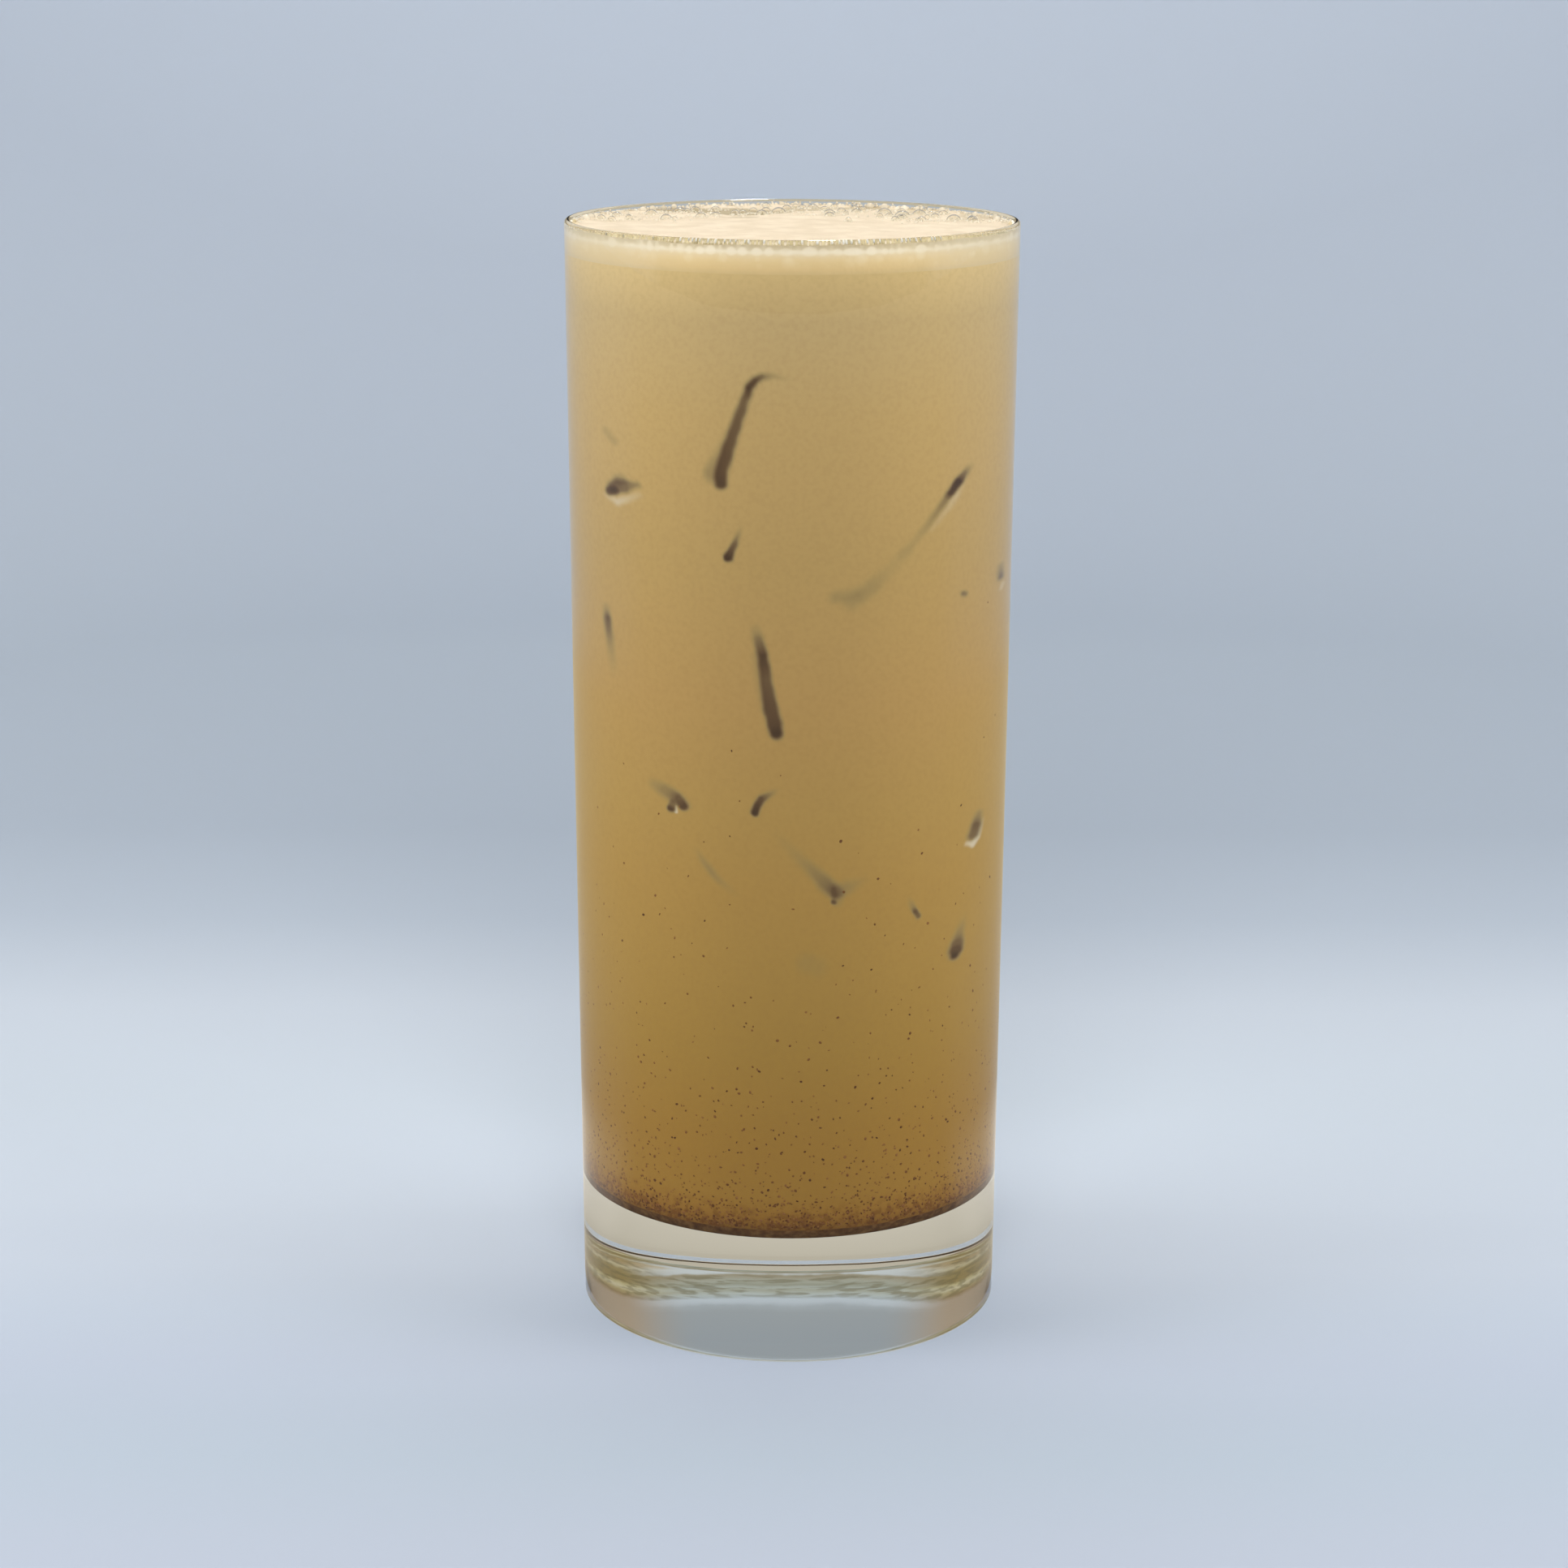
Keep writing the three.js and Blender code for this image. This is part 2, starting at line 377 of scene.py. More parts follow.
# Each mark is a line of points on the wall: degrees round from the front, height, half width as
# seen from outside and strength, with the softness of its border first. Lengths in millimetres.
ICE_SHADOWS = (
    (1.0, ((-17.9, 127.2, 0.75, 0.92), (-17.6, 129.0, 0.82, 0.84), (-14.6, 133.8, 0.68, 0.76),
           (-11.6, 138.6, 0.50, 0.74), (-10.5, 140.2, 0.50, 0.95), (-9.2, 141.3, 0.45, 0.90),
           (-7.4, 141.8, 0.38, 0.68), (-4.6, 141.9, 0.25, 0.30), (0.2, 141.5, 0.15, 0.04))),
    (1.5, ((-12.6, 136.8, 0.30, 0.12), (-20.2, 128.4, 1.00, 0.42))),
    (0.8, ((-53.3, 124.3, 0.45, 0.80), (-51.4, 124.5, 0.50, 0.80))),
    (1.0, ((-51.6, 124.9, 0.80, 0.74), (-47.5, 125.4, 0.85, 0.66), (-42.6, 125.8, 0.30, 0.50))),
    (1.2, ((-49.6, 126.0, 0.60, 0.42), (-48.2, 126.3, 0.55, 0.36))),
    (0.9, ((-54.6, 132.6, 0.35, 0.20), (-50.8, 131.3, 0.35, 0.22))),
    (0.7, ((-15.9, 117.1, 0.52, 0.98), (-14.2, 119.0, 0.34, 0.72), (-12.5, 121.4, 0.12, 0.08))),
    (0.8, ((52.4, 128.2, 0.25, 0.15), (49.6, 127.2, 0.40, 0.62), (47.4, 126.2, 0.50, 0.98),
           (44.4, 124.8, 0.46, 0.95), (42.8, 124.0, 0.35, 0.56), (38.4, 121.6, 0.30, 0.40),
           (34.0, 119.3, 0.32, 0.22), (29.0, 116.9, 0.40, 0.12))),
    (1.6, ((31.0, 117.6, 0.50, 0.10), (25.0, 114.8, 0.70, 0.16), (20.5, 112.8, 0.90, 0.30),
           (15.6, 111.0, 0.90, 0.26))),
    (1.4, ((17.0, 112.0, 0.60, 0.16), (11.4, 111.8, 0.70, 0.30))),
    (0.9, ((70.4, 112.3, 0.40, 0.35), (70.9, 110.9, 0.40, 0.72))),
    (0.7, ((50.2, 110.3, 0.32, 0.62), (50.8, 110.2, 0.32, 0.56))),
    (0.9, ((-55.6, 107.8, 0.35, 0.25), (-55.3, 106.2, 0.40, 0.78), (-54.9, 104.6, 0.42, 0.62),
           (-54.0, 102.2, 0.40, 0.32), (-52.8, 98.6, 0.35, 0.06))),
    (1.0, ((-8.9, 107.4, 0.45, 0.20), (-8.3, 106.0, 0.55, 0.55), (-7.1, 103.6, 0.62, 0.92),
           (-6.8, 102.4, 0.66, 0.88), (-6.3, 100.4, 0.72, 0.76), (-5.4, 97.2, 0.85, 0.82),
           (-4.2, 94.2, 0.98, 0.88), (-3.6, 92.9, 0.85, 0.97))),
    (1.3, ((-8.6, 103.4, 0.50, 0.24), (-6.4, 96.2, 0.50, 0.22))),
    (1.2, ((-37.8, 83.9, 0.60, 0.28), (-34.6, 83.3, 0.80, 0.46), (-31.4, 82.6, 0.85, 0.62),
           (-28.4, 81.7, 0.45, 0.50))),
    (0.6, ((-32.7, 80.8, 0.42, 0.92), (-32.2, 81.6, 0.40, 0.55))),
    (0.7, ((-29.0, 81.4, 0.50, 0.86), (-30.2, 82.4, 0.50, 0.45))),
    (0.7, ((-9.2, 81.5, 0.48, 0.98), (-8.6, 82.4, 0.48, 0.92), (-7.4, 83.4, 0.44, 0.84),
           (-5.6, 84.1, 0.32, 0.52), (-3.2, 84.9, 0.15, 0.08))),
    (1.4, ((-3.4, 78.4, 0.45, 0.04), (2.4, 75.0, 0.60, 0.20), (7.0, 72.6, 0.80, 0.42),
           (10.6, 70.6, 0.95, 0.60), (12.4, 69.8, 0.80, 0.58), (12.4, 68.6, 0.50, 0.30))),
    (1.6, ((12.4, 70.0, 0.90, 0.30), (15.4, 70.6, 0.80, 0.32), (20.0, 71.5, 0.35, 0.08))),
    (0.6, ((11.5, 70.4, 0.25, 0.40), (11.8, 69.5, 0.32, 0.50))),
    (0.5, ((11.3, 68.6, 0.22, 0.80), (11.6, 68.5, 0.22, 0.75))),
    (1.0, ((-25.2, 75.4, 0.20, 0.08), (-23.4, 74.0, 0.30, 0.30), (-20.8, 72.4, 0.38, 0.38),
           (-18.0, 71.0, 0.35, 0.22), (-14.4, 69.6, 0.25, 0.06))),
    (1.0, ((60.2, 77.4, 0.45, 0.45), (59.0, 76.0, 0.66, 0.82), (57.8, 74.8, 0.70, 0.74))),
    (0.6, ((33.2, 67.8, 0.20, 0.08), (34.4, 66.6, 0.26, 0.40), (35.2, 65.8, 0.32, 0.82),
           (36.2, 65.0, 0.30, 0.70))),
    (1.0, ((54.0, 63.2, 0.25, 0.06), (52.4, 61.2, 0.45, 0.40), (51.2, 59.4, 0.82, 0.74),
           (50.6, 58.4, 0.88, 0.90), (50.2, 57.8, 0.60, 1.00))),
    (2.0, ((4.6, 59.8, 1.30, 0.15), (7.0, 59.2, 1.30, 0.13))),
    (1.0, ((121.0, 134.0, 0.50, 0.85), (127.0, 133.0, 0.55, 0.70), (137.0, 130.8, 0.45, 0.30),
           (148.0, 128.4, 0.60, 0.62))),
    (1.0, ((-119.6, 131.0, 0.55, 0.92), (-116.0, 124.6, 0.60, 0.80), (-112.2, 117.4, 0.75, 0.90))),
    (1.0, ((165.2, 111.6, 0.50, 0.60), (168.6, 105.0, 0.60, 0.84), (172.0, 98.4, 0.80, 0.95))),
    (0.8, ((111.6, 99.6, 0.50, 0.90), (108.6, 94.0, 0.36, 0.46), (106.0, 89.6, 0.24, 0.10))),
    (1.3, ((-150.0, 99.0, 0.60, 0.60), (-143.0, 96.4, 0.70, 0.30), (-133.0, 92.8, 0.60, 0.12))),
    (0.8, ((-128.4, 91.2, 0.50, 0.85), (-127.0, 90.4, 0.40, 0.70))),
    (1.0, ((-92.4, 79.6, 0.60, 0.80), (-96.0, 73.0, 0.50, 0.56), (-99.6, 66.6, 0.70, 0.86))),
    (1.2, ((150.4, 75.4, 0.60, 0.74), (156.0, 69.4, 0.50, 0.30), (161.6, 63.6, 0.60, 0.52))),
    (0.7, ((-168.0, 118.4, 0.44, 0.86), (-165.8, 120.2, 0.26, 0.40))),
    (0.7, ((92.0, 121.4, 0.42, 0.80), (94.6, 119.8, 0.30, 0.50))),
    (0.9, ((-172.0, 80.2, 0.50, 0.66), (-176.4, 77.6, 0.36, 0.24))),
)
# Pale marks of painted light, where an ice edge near the wall lets light through the tea, laid out as
# the marks above
ICE_HALOS = (
    (1.1, ((-55.0, 123.6, 0.30, 0.30), (-50.0, 123.0, 0.45, 0.60), (-42.0, 124.4, 0.40, 0.30))),
    (0.9, ((50.4, 126.4, 0.30, 0.10), (46.4, 124.2, 0.40, 0.40), (38.0, 120.0, 0.30, 0.20))),
    (0.8, ((54.8, 73.8, 0.30, 0.60), (57.4, 73.4, 0.40, 0.95), (60.0, 74.1, 0.35, 0.80),
           (62.6, 76.4, 0.25, 0.30))),
    (0.8, ((71.6, 109.2, 0.30, 0.40), (72.4, 109.6, 0.30, 0.40))),
    (0.4, ((-31.3, 80.5, 0.16, 0.80), (-31.2, 81.2, 0.14, 0.50))),
)


def object_parts(tree):
    """The X, Y and Z of the Object coordinates."""
    parts = tree.nodes.new("ShaderNodeSeparateXYZ")
    tree.links.new(object_place(tree), parts.inputs["Vector"])
    return parts.outputs


def attribute_value(tree, name):
    attribute = tree.nodes.new("ShaderNodeAttribute")
    attribute.attribute_name = name
    return attribute.outputs["Fac"]


def calculated(tree, operation, *values):
    """One step of arithmetic on outputs and plain numbers."""
    step = tree.nodes.new("ShaderNodeMath")
    step.operation = operation
    for socket, value in zip(step.inputs, values):
        if isinstance(value, float):
            socket.default_value = value
        else:
            tree.links.new(value, socket)
    return step.outputs["Value"]


def level_ramp(tree, source, low, high, stops, lift=0.0):
    """A ramp over a length between two limits, with the places of its stops in millimetres."""
    share = spread(tree, source, low + lift, high + lift, kind="LINEAR")
    return colour_ramp(tree, share, [
        ((place * MM - low) / (high - low), *colour) for place, *colour in stops])


def make_chai_material():
    material, tree, shader = matt_material("milky_chai", 0.55)
    height = object_parts(tree)["Z"]
    # Colour by height: partly the tea's own colour, partly painted light and shade, darker towards the
    # bottom
    colour = level_ramp(tree, height, SPICE_TOP, CHAI_TOP, [
        (SPICE_TOP / MM, 124, 85, 34), (20.7, 134, 94, 37), (21.7, 138, 99, 40), (23, 145, 107, 44),
        (25, 149, 112, 48), (33, 152, 115, 50), (46, 158, 124, 58), (58, 164, 130, 65),
        (70, 169, 134, 70), (81, 172, 139, 77), (97, 177, 143, 86), (116, 180, 150, 94),
        (127, 185, 155, 100), (136, 188, 159, 105), (149, 191, 166, 118),
        (CHAI_TOP / MM, 210, 184, 132)])
    haze = spread(tree, cloudy(tree, 1400, 3.0), 0.35, 0.75, 0.0, 0.10)
    colour = mixed(tree, haze, colour, display(128, 92, 52))
    drift = spread(tree, cloudy(tree, 900, 4.0), 0.45, 0.62, 0.0, 0.7)
    low_down = spread(tree, height, 19.5 * MM, 25 * MM, 1.0, 0.0)
    silt = calculated(tree, "MULTIPLY", drift, low_down)
    colour = mixed(tree, silt, colour, display(92, 48, 20))
    # Painted light: paler where an ice edge near the wall lets light through the tea
    halo = spread(tree, attribute_value(tree, "ice_halo"), 0.0, 1.0, 0.0, 0.7)
    colour = mixed(tree, halo, colour, display(212, 205, 186))
    shadow = attribute_value(tree, "ice_shadow")
    cold = colour_ramp(tree, shadow, [
        (0.0, 142, 128, 82), (0.3, 132, 118, 80), (0.6, 112, 93, 66), (0.85, 88, 65, 43),
        (1.0, 60, 42, 27)])
    cover = colour_ramp(tree, shadow, [(0.0, 0.0), (0.3, 0.5), (0.6, 0.86), (0.85, 0.98), (1.0, 1.0)])
    colour = mixed(tree, cover, colour, cold)
    tree.links.new(colour, shader.inputs["Base Color"])
    return material


# Added to the half width of every mark, in millimetres
MARK_SPREAD = 0.12
# The widths of marks in view allow for the turn of the wall, down to this share; those behind don't
LEAST_FLATNESS = 0.35
SIDE_ANGLE = 85
# A degree round the glass is at least this long on the wall, in millimetres
SHORTEST_DEGREE = 0.5
# Unevenness of the borders, in degrees and millimetres
BORDER_WAVER = (0.3, 0.15)
# Bends of the marks behind, in degrees, and the angles from the front over which they set in
BEND = 7
BEND_FROM = 70
BEND_FULL_FROM = 95


def clamped(value):
    return min(1.0, max(0.0, value))


def soft_edge(away, reach, softness):
    """From 1 inside a reach to 0 outside it, over a soft border."""
    inside = clamped((reach + softness / 2 - away) / softness)
    return inside * inside * (3 - 2 * inside)


def mark_reach(mark):
    """The range of angle and height that a mark can darken."""
    softness, points = mark
    flatness = max(math.cos(math.radians(points[0][0])), LEAST_FLATNESS)
    if abs(points[0][0]) > SIDE_ANGLE:
        flatness = 1.0
    margin = max(point[2] for point in points) + MARK_SPREAD + softness / 2
    turn = margin / (SHORTEST_DEGREE * flatness)
    angles = [point[0] for point in points]
    heights = [point[1] for point in points]
    return (flatness, min(angles) - turn, max(angles) + turn,
            min(heights) - margin, max(heights) + margin)


def mark_strength(mark, reach, angle, height, radius):
    """Strength of one mark at a point of the wall, from 0 to 1."""
    flatness, low_angle, high_angle, low_height, high_height = reach
    if not (low_angle < angle < high_angle and low_height < height < high_height):
        return 0.0
    softness, points = mark
    arc_length = math.radians(1) * radius * flatness
    strongest = 0.0
    for start, end in zip(points, points[1:]):
        along = ((end[0] - start[0]) * arc_length, end[1] - start[1])
        offset = ((angle - start[0]) * arc_length, height - start[1])
        part = (offset[0] * along[0] + offset[1] * along[1]) / (along[0] ** 2 + along[1] ** 2)
        part = clamped(part)
        away = math.hypot(offset[0] - part * along[0], offset[1] - part * along[1])
        half_width = start[2] + (end[2] - start[2]) * part + MARK_SPREAD
        strength = start[3] + (end[3] - start[3]) * part
        strongest = max(strongest, strength * soft_edge(away, half_width, softness))
    return strongest


def marks_at(marks, reaches, place):
    """All marks together at a point of the wall, uneven as on melting ice and bent behind."""
    x, y, z = place
    angle = math.degrees(math.atan2(x, -y)) + BORDER_WAVER[0] * noise.noise(place * 700)
    behind = clamped((abs(angle) - BEND_FROM) / (BEND_FULL_FROM - BEND_FROM))
    angle += BEND * behind * noise.noise(place * 85)
    height = z / MM + BORDER_WAVER[1] * noise.noise(place * 650 + Vector((5, 0, 0)))
    radius = math.hypot(x, y) / MM
    clear = 1.0
    for mark, reach in zip(marks, reaches):
        clear *= 1 - mark_strength(mark, reach, angle, height, radius)
    return 1 - clear


rows = round((CHAI_TOP - SPICE_TOP) / CHAI_ROW)
chai_levels = [SPICE_TOP + (CHAI_TOP - SPICE_TOP) * i / rows for i in range(rows + 1)]
chai = turned(
    "milky_chai",
    [(0, SPICE_TOP)]
    + [(inner_radius(level) + WETTING, level) for level in chai_levels]
    + [(0, CHAI_TOP)],
    FILL_STEPS,
)
all_marks = ICE_SHADOWS + ICE_HALOS
wide_marks = [
    (softness + FINE_MARGIN,
     [(angle, height, half_width + FINE_MARGIN / 2, 1.0) for angle, height, half_width, _ in points])
    for softness, points in all_marks
]
wide_reaches = [mark_reach(mark) for mark in wide_marks]
near = [marks_at(wide_marks, wide_reaches, vertex.co) > 0 for vertex in chai.data.vertices]
for face in chai.data.polygons:
    face.select = any(near[index] for index in face.vertices)
for edge in chai.data.edges:
    edge.select = False
for vertex in chai.data.vertices:
    vertex.select = False
bpy.ops.object.mode_set(mode="EDIT")
bpy.ops.mesh.select_mode(type="FACE")
bpy.ops.mesh.subdivide(number_cuts=FINE_CUTS)
bpy.ops.object.mode_set(mode="OBJECT")
for attribute_name, marks in (("ice_shadow", ICE_SHADOWS), ("ice_halo", ICE_HALOS)):
    reaches = [mark_reach(mark) for mark in marks]
    values = [marks_at(marks, reaches, vertex.co) for vertex in chai.data.vertices]
    attribute = chai.data.attributes.new(attribute_name, "FLOAT", "POINT")
    attribute.data.foreach_set("value", values)
bpy.ops.object.shade_smooth_by_angle(angle=EDGE_ANGLE)
chai.data.materials.append(make_chai_material())
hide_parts("chai")
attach(chai, "root")


# The spice grains: ground spice that hangs in the tea and shows where it touches the glass,
# thick just above the settled layer and thinning out upwards.
GRAIN_COUNT = 5200
GRAIN_SIZE = (0.15 * MM, 0.34 * MM)
GRAIN_DEPTH = 0.05 * MM
GRAIN_IN_WALL = 0.06
GRAIN_START = 0.4 * MM
GRAIN_REACH = 90 * MM
GRAIN_FADE_HEIGHTS = (2.2 * MM, 14.0 * MM)


def scattered(name, model, places, material, tones=()):
    """One mesh of many copies of a modelled shape, each put in place by its matrix, with its tone."""
    points = [vertex.co.copy() for vertex in model.data.vertices]
    faces = [tuple(face.vertices) for face in model.data.polygons]
    all_points = [place @ point for place in places for point in points]
    all_faces = [
        tuple(number * len(points) + index for index in face)
        for number in range(len(places))
        for face in faces
    ]
    mesh = bpy.data.meshes.new(name)
    mesh.from_pydata(all_points, [], all_faces)
    mesh.materials.append(material)
    if tones:
        values = [tone for tone in tones for _ in points]
        mesh.attributes.new("tone", "FLOAT", "POINT").data.foreach_set("value", values)
    piece = bpy.data.objects.new(name, mesh)
    bpy.context.scene.collection.objects.link(piece)
    bpy.data.objects.remove(model)
    bpy.ops.object.select_all(action="DESELECT")
    piece.select_set(True)
    bpy.context.view_layer.objects.active = piece
    bpy.ops.object.shade_smooth()
    return piece


def ball(subdivisions):
    """A ball of radius 1 to make scattered copies of."""
    bpy.ops.object.select_all(action="DESELECT")
    bpy.ops.mesh.primitive_ico_sphere_add(subdivisions=subdivisions, radius=1)
    return bpy.context.object


def make_grain_material():
    material, tree, shader = matt_material("ground_spice", 0.7)
    colour = colour_ramp(tree, attribute_value(tree, "tone"), [
        (0.0, 78, 44, 22), (0.3, 100, 61, 30), (0.7, 120, 78, 40), (1.0, 136, 94, 52)])
    tree.links.new(colour, shader.inputs["Base Color"])
    return material


rng = random.Random(12)
grain_places = []
grain_tones = []
while len(grain_places) < GRAIN_COUNT:
    above = rng.expovariate(1 / rng.choice(GRAIN_FADE_HEIGHTS))
    level = SPICE_TOP + GRAIN_START + above
    if level > FLOOR_HEIGHT + GRAIN_REACH:
        continue
    angle = rng.uniform(-180, 180)
    size = rng.uniform(*GRAIN_SIZE) * rng.uniform(0.6, 1.0)
    place = wall_place(angle, level / MM, -GRAIN_IN_WALL)
    outward = Matrix.Rotation(math.radians(angle), 4, "Z")
    spin = Matrix.Rotation(rng.uniform(0, 2 * math.pi), 4, "Y")
    flat = Matrix.Diagonal((size, GRAIN_DEPTH, size * rng.uniform(0.5, 1.0), 1))
    grain_places.append(Matrix.Translation(place) @ outward @ spin @ flat)
    grain_tones.append(rng.random())
grains = scattered("spice_grains", ball(1), grain_places, make_grain_material(), grain_tones)
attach(grains, "root")


# The foam: fine cream froth shaken up with the milk, a few millimetres thick. Its top is smooth
# in front, with wet olive patches towards the back, and pale clusters of froth press on the wall.
FREE_RIM = 1.0 * MM
FOAM_TOP = GLASS_HEIGHT - FREE_RIM
FOAM_GRID = 240
FOAM_ROWS = 34
FOAM_UNREST = 0.6 * MM
LIP_HEIGHT = 0.25 * MM
EDGE_WIDTH = 0.9 * MM
FOAM_EDGE_ANGLE = math.radians(60)
# Wet patches of the top: place, half width, half depth and strength. Lengths in millimetres.
WET_PATCHES = (
    (-16, 24, 4.5, 4.0, 0.85),
    (-8, 22, 6.0, 6.0, 0.90),
    (-7.5, 13, 3.0, 2.0, 0.45),
    (-3, 23, 4.0, 3.5, 0.60),
    (2.5, 27, 4.0, 3.0, 0.60),
    (5.5, 17, 2.5, 2.5, 0.30),
    (10, 27.5, 5.0, 2.5, 0.70),
    (17, 24, 4.0, 3.0, 0.45),
    (27, 15, 3.5, 5.0, 0.45),
    (24, 9, 4.0, 3.0, 0.25),
)
# Pale domes of froth that press on the wall above a level line: degrees round from the front,
# top level, half width and strength. Lengths in millimetres.
FROTH_LINE = 158.35
FROTH_DOMES = (
    (-57.6, 158.9, 0.45, 0.50), (-50.4, 159.3, 0.85, 0.80), (-45.0, 158.9, 0.50, 0.30),
    (-39.8, 159.6, 0.35, 0.50), (-37.2, 159.4, 0.45, 0.75), (-34.9, 159.5, 0.30, 0.55),
    (-30.7, 159.1, 0.35, 0.60), (-28.3, 159.5, 0.50, 0.50), (-25.8, 158.9, 0.50, 0.70),
    (-23.0, 158.9, 0.60, 0.80), (-20.1, 159.1, 0.65, 0.85), (-17.7, 159.5, 0.30, 0.50),
    (-14.9, 159.0, 0.65, 0.85), (-12.1, 159.0, 0.60, 0.85), (-8.6, 158.95, 0.70, 0.90),
    (-5.6, 159.0, 0.60, 0.80), (-1.5, 158.9, 0.90, 0.60), (4.2, 159.1, 1.00, 0.80),
    (7.5, 158.9, 0.60, 0.50), (11.1, 158.8, 0.60, 0.60), (14.9, 158.9, 1.30, 0.80),
    (19.5, 159.0, 0.70, 0.85), (23.0, 158.7, 0.45, 0.60), (24.8, 158.7, 0.40, 0.50),
    (27.1, 158.7, 0.45, 0.60), (33.1, 159.0, 0.90, 0.85), (37.7, 158.9, 0.35, 0.50),
    (41.6, 158.9, 0.40, 0.50), (45.8, 158.6, 0.50, 0.50), (54.1, 158.8, 0.80, 0.70),
    (62.4, 158.7, 0.80, 0.60),
)
DOMES_BEHIND = 72
ARC_BEHIND = (68, 292)
# Pale round spots lower down: degrees round from the front, level, radius and strength.
FROTH_SPOTS = (
    (-26.0, 157.3, 0.60, 0.35), (-17.0, 157.5, 0.60, 0.35), (-1.0, 156.9, 0.80, 0.40),
    (17.0, 157.3, 0.80, 0.40), (14.0, 156.8, 0.70, 0.30), (33.0, 157.6, 0.70, 0.50),
    (50.0, 156.9, 0.60, 0.35), (51.0, 157.1, 0.35, 0.60), (56.0, 157.6, 0.90, 0.40),
)
MORE_SPOTS = 60
SPOT_LEVELS = (156.2, 157.9)


def make_foam_material():
    material, tree, shader = matt_material("cream_froth", 0.5)
    parts = object_parts(tree)
    lifted = calculated(tree, "MULTIPLY_ADD", cloudy(tree, 420, 3.0), FOAM_UNREST, parts["Z"])
    wet_side = level_ramp(tree, lifted, CHAI_TOP, GLASS_HEIGHT, [
        (CHAI_TOP / MM, 212, 187, 138), (156.1, 224, 197, 146), (156.8, 230, 204, 154),
        (157.4, 236, 212, 166), (157.85, 238, 217, 178), (158.3, 240, 224, 193),
        (158.7, 222, 206, 173), (159.2, 208, 192, 160), (GLASS_HEIGHT / MM, 212, 198, 170),
    ], FOAM_UNREST / 2)
    pale_side = level_ramp(tree, lifted, CHAI_TOP, GLASS_HEIGHT, [
        (CHAI_TOP / MM, 220, 194, 146), (156.1, 232, 206, 158), (156.8, 240, 219, 178),
        (157.4, 246, 229, 194), (157.85, 248, 233, 203), (158.3, 252, 240, 217),
        (158.7, 252, 240, 218), (159.2, 248, 236, 212), (GLASS_HEIGHT / MM, 246, 234, 210),
    ], FOAM_UNREST / 2)
    colour = mixed(tree, attribute_value(tree, "cluster"), wet_side, pale_side)
    # Painted shade: the side of the foam is duller and darker towards the left and right, where the
    # wall turns away
    side_shade = spread(tree, calculated(tree, "ABSOLUTE", parts["X"]), 11 * MM, 26 * MM, 0.0, 0.5)
    colour = mixed(tree, side_shade, colour, display(200, 184, 152))
    streaks = spread(tree, cloudy(tree, 260, 4.0), 0.35, 0.7)
    top = mixed(tree, streaks, display(220, 208, 188), display(230, 219, 200))
    wet = spread(tree, attribute_value(tree, "wet"), 0.0, 1.0)
    top = mixed(tree, wet, top, display(180, 170, 146))
    colour = mixed(tree, attribute_value(tree, "upper"), colour, top)
    tree.links.new(colour, shader.inputs["Base Color"])
    fine = object_texture(tree, "ShaderNodeTexVoronoi", 1500)
    add_bump(tree, shader, fine.outputs["Distance"], 0.25, 0.1 * MM)
    return material


def wetness(x, y):
    """How wet the froth is at a place on top, from 0 to 1."""
    place = Vector((x, y, 0))
    dry = 1.0
    for centre_x, centre_y, half_width, half_depth, strength in WET_PATCHES:
        across = (x / MM - centre_x + 1.2 * noise.noise(place * 500)) / half_width
        along = (y / MM - centre_y + 1.2 * noise.noise(place * 430 + Vector((3, 0, 0)))) / half_depth
        dry *= 1 - strength * soft_edge(math.hypot(across, along), 1.0, 0.5)
    return 1 - dry


def foam_relief(x, y):
    """Height of the froth above its mean level: soft swells, hollows where wet, a lip at the wall."""
    place = Vector((x, y * 1.6, 0))
    swell = 0.22 * MM * noise.noise(place * 120) + 0.08 * MM * noise.noise(place * 330)
    to_wall = inner_radius(FOAM_TOP) - math.hypot(x, y)
    lip = LIP_HEIGHT * math.exp(-((to_wall / EDGE_WIDTH) ** 2))
    return swell + lip - 0.2 * MM * wetness(x, y)


def paleness(domes, spots, place):
    """How pale the froth is where it presses on the wall, from 0 to 1."""
    angle = math.degrees(math.atan2(place.x, -place.y))
    radius = math.hypot(place.x, place.y) / MM
    height = place.z / MM
    unrest = noise.noise(place * 900)
    off_line = (height - FROTH_LINE - 0.15 * unrest) / 0.3
    clear = 1 - (0.7 + 0.5 * unrest) * math.exp(-(off_line ** 2))
    if height > FROTH_LINE + 0.3:
        rib = noise.noise(Vector((place.x * 1600, place.y * 1600, place.z * 150)))
        clear *= 1 - 0.5 * max(0.0, rib)
    for centre, top, half_width, strength in domes:
        across = math.radians((angle - centre + 180) % 360 - 180) * radius / half_width
        if abs(across) < 1.5:
            above = height - FROTH_LINE
            upward = above / (top - FROTH_LINE) if above > 0 else above / 0.5
            clear *= 1 - strength * soft_edge(math.hypot(across, upward), 1.0, 0.5)
    for centre, level, size, strength in spots:
        across = math.radians((angle - centre + 180) % 360 - 180) * radius / size
        if abs(across) < 1.5:
            clear *= 1 - strength * soft_edge(math.hypot(across, (height - level) / size), 1.0, 0.9)
    return 1 - clear


rng = random.Random(4)
froth_domes = list(FROTH_DOMES)
first_behind, last_behind = ARC_BEHIND
for i in range(DOMES_BEHIND):
    angle = first_behind + (last_behind - first_behind) * (i + rng.uniform(0.1, 0.9)) / DOMES_BEHIND
    top = FROTH_LINE + rng.uniform(0.4, 1.2)
    froth_domes.append((angle, top, rng.uniform(0.35, 0.9), rng.uniform(0.5, 0.85)))
froth_spots = list(FROTH_SPOTS)
for _ in range(MORE_SPOTS):
    angle = rng.uniform(-180, 180)
    level = rng.uniform(*SPOT_LEVELS)
    froth_spots.append((angle, level, rng.uniform(0.25, 0.7), rng.uniform(0.12, 0.3)))

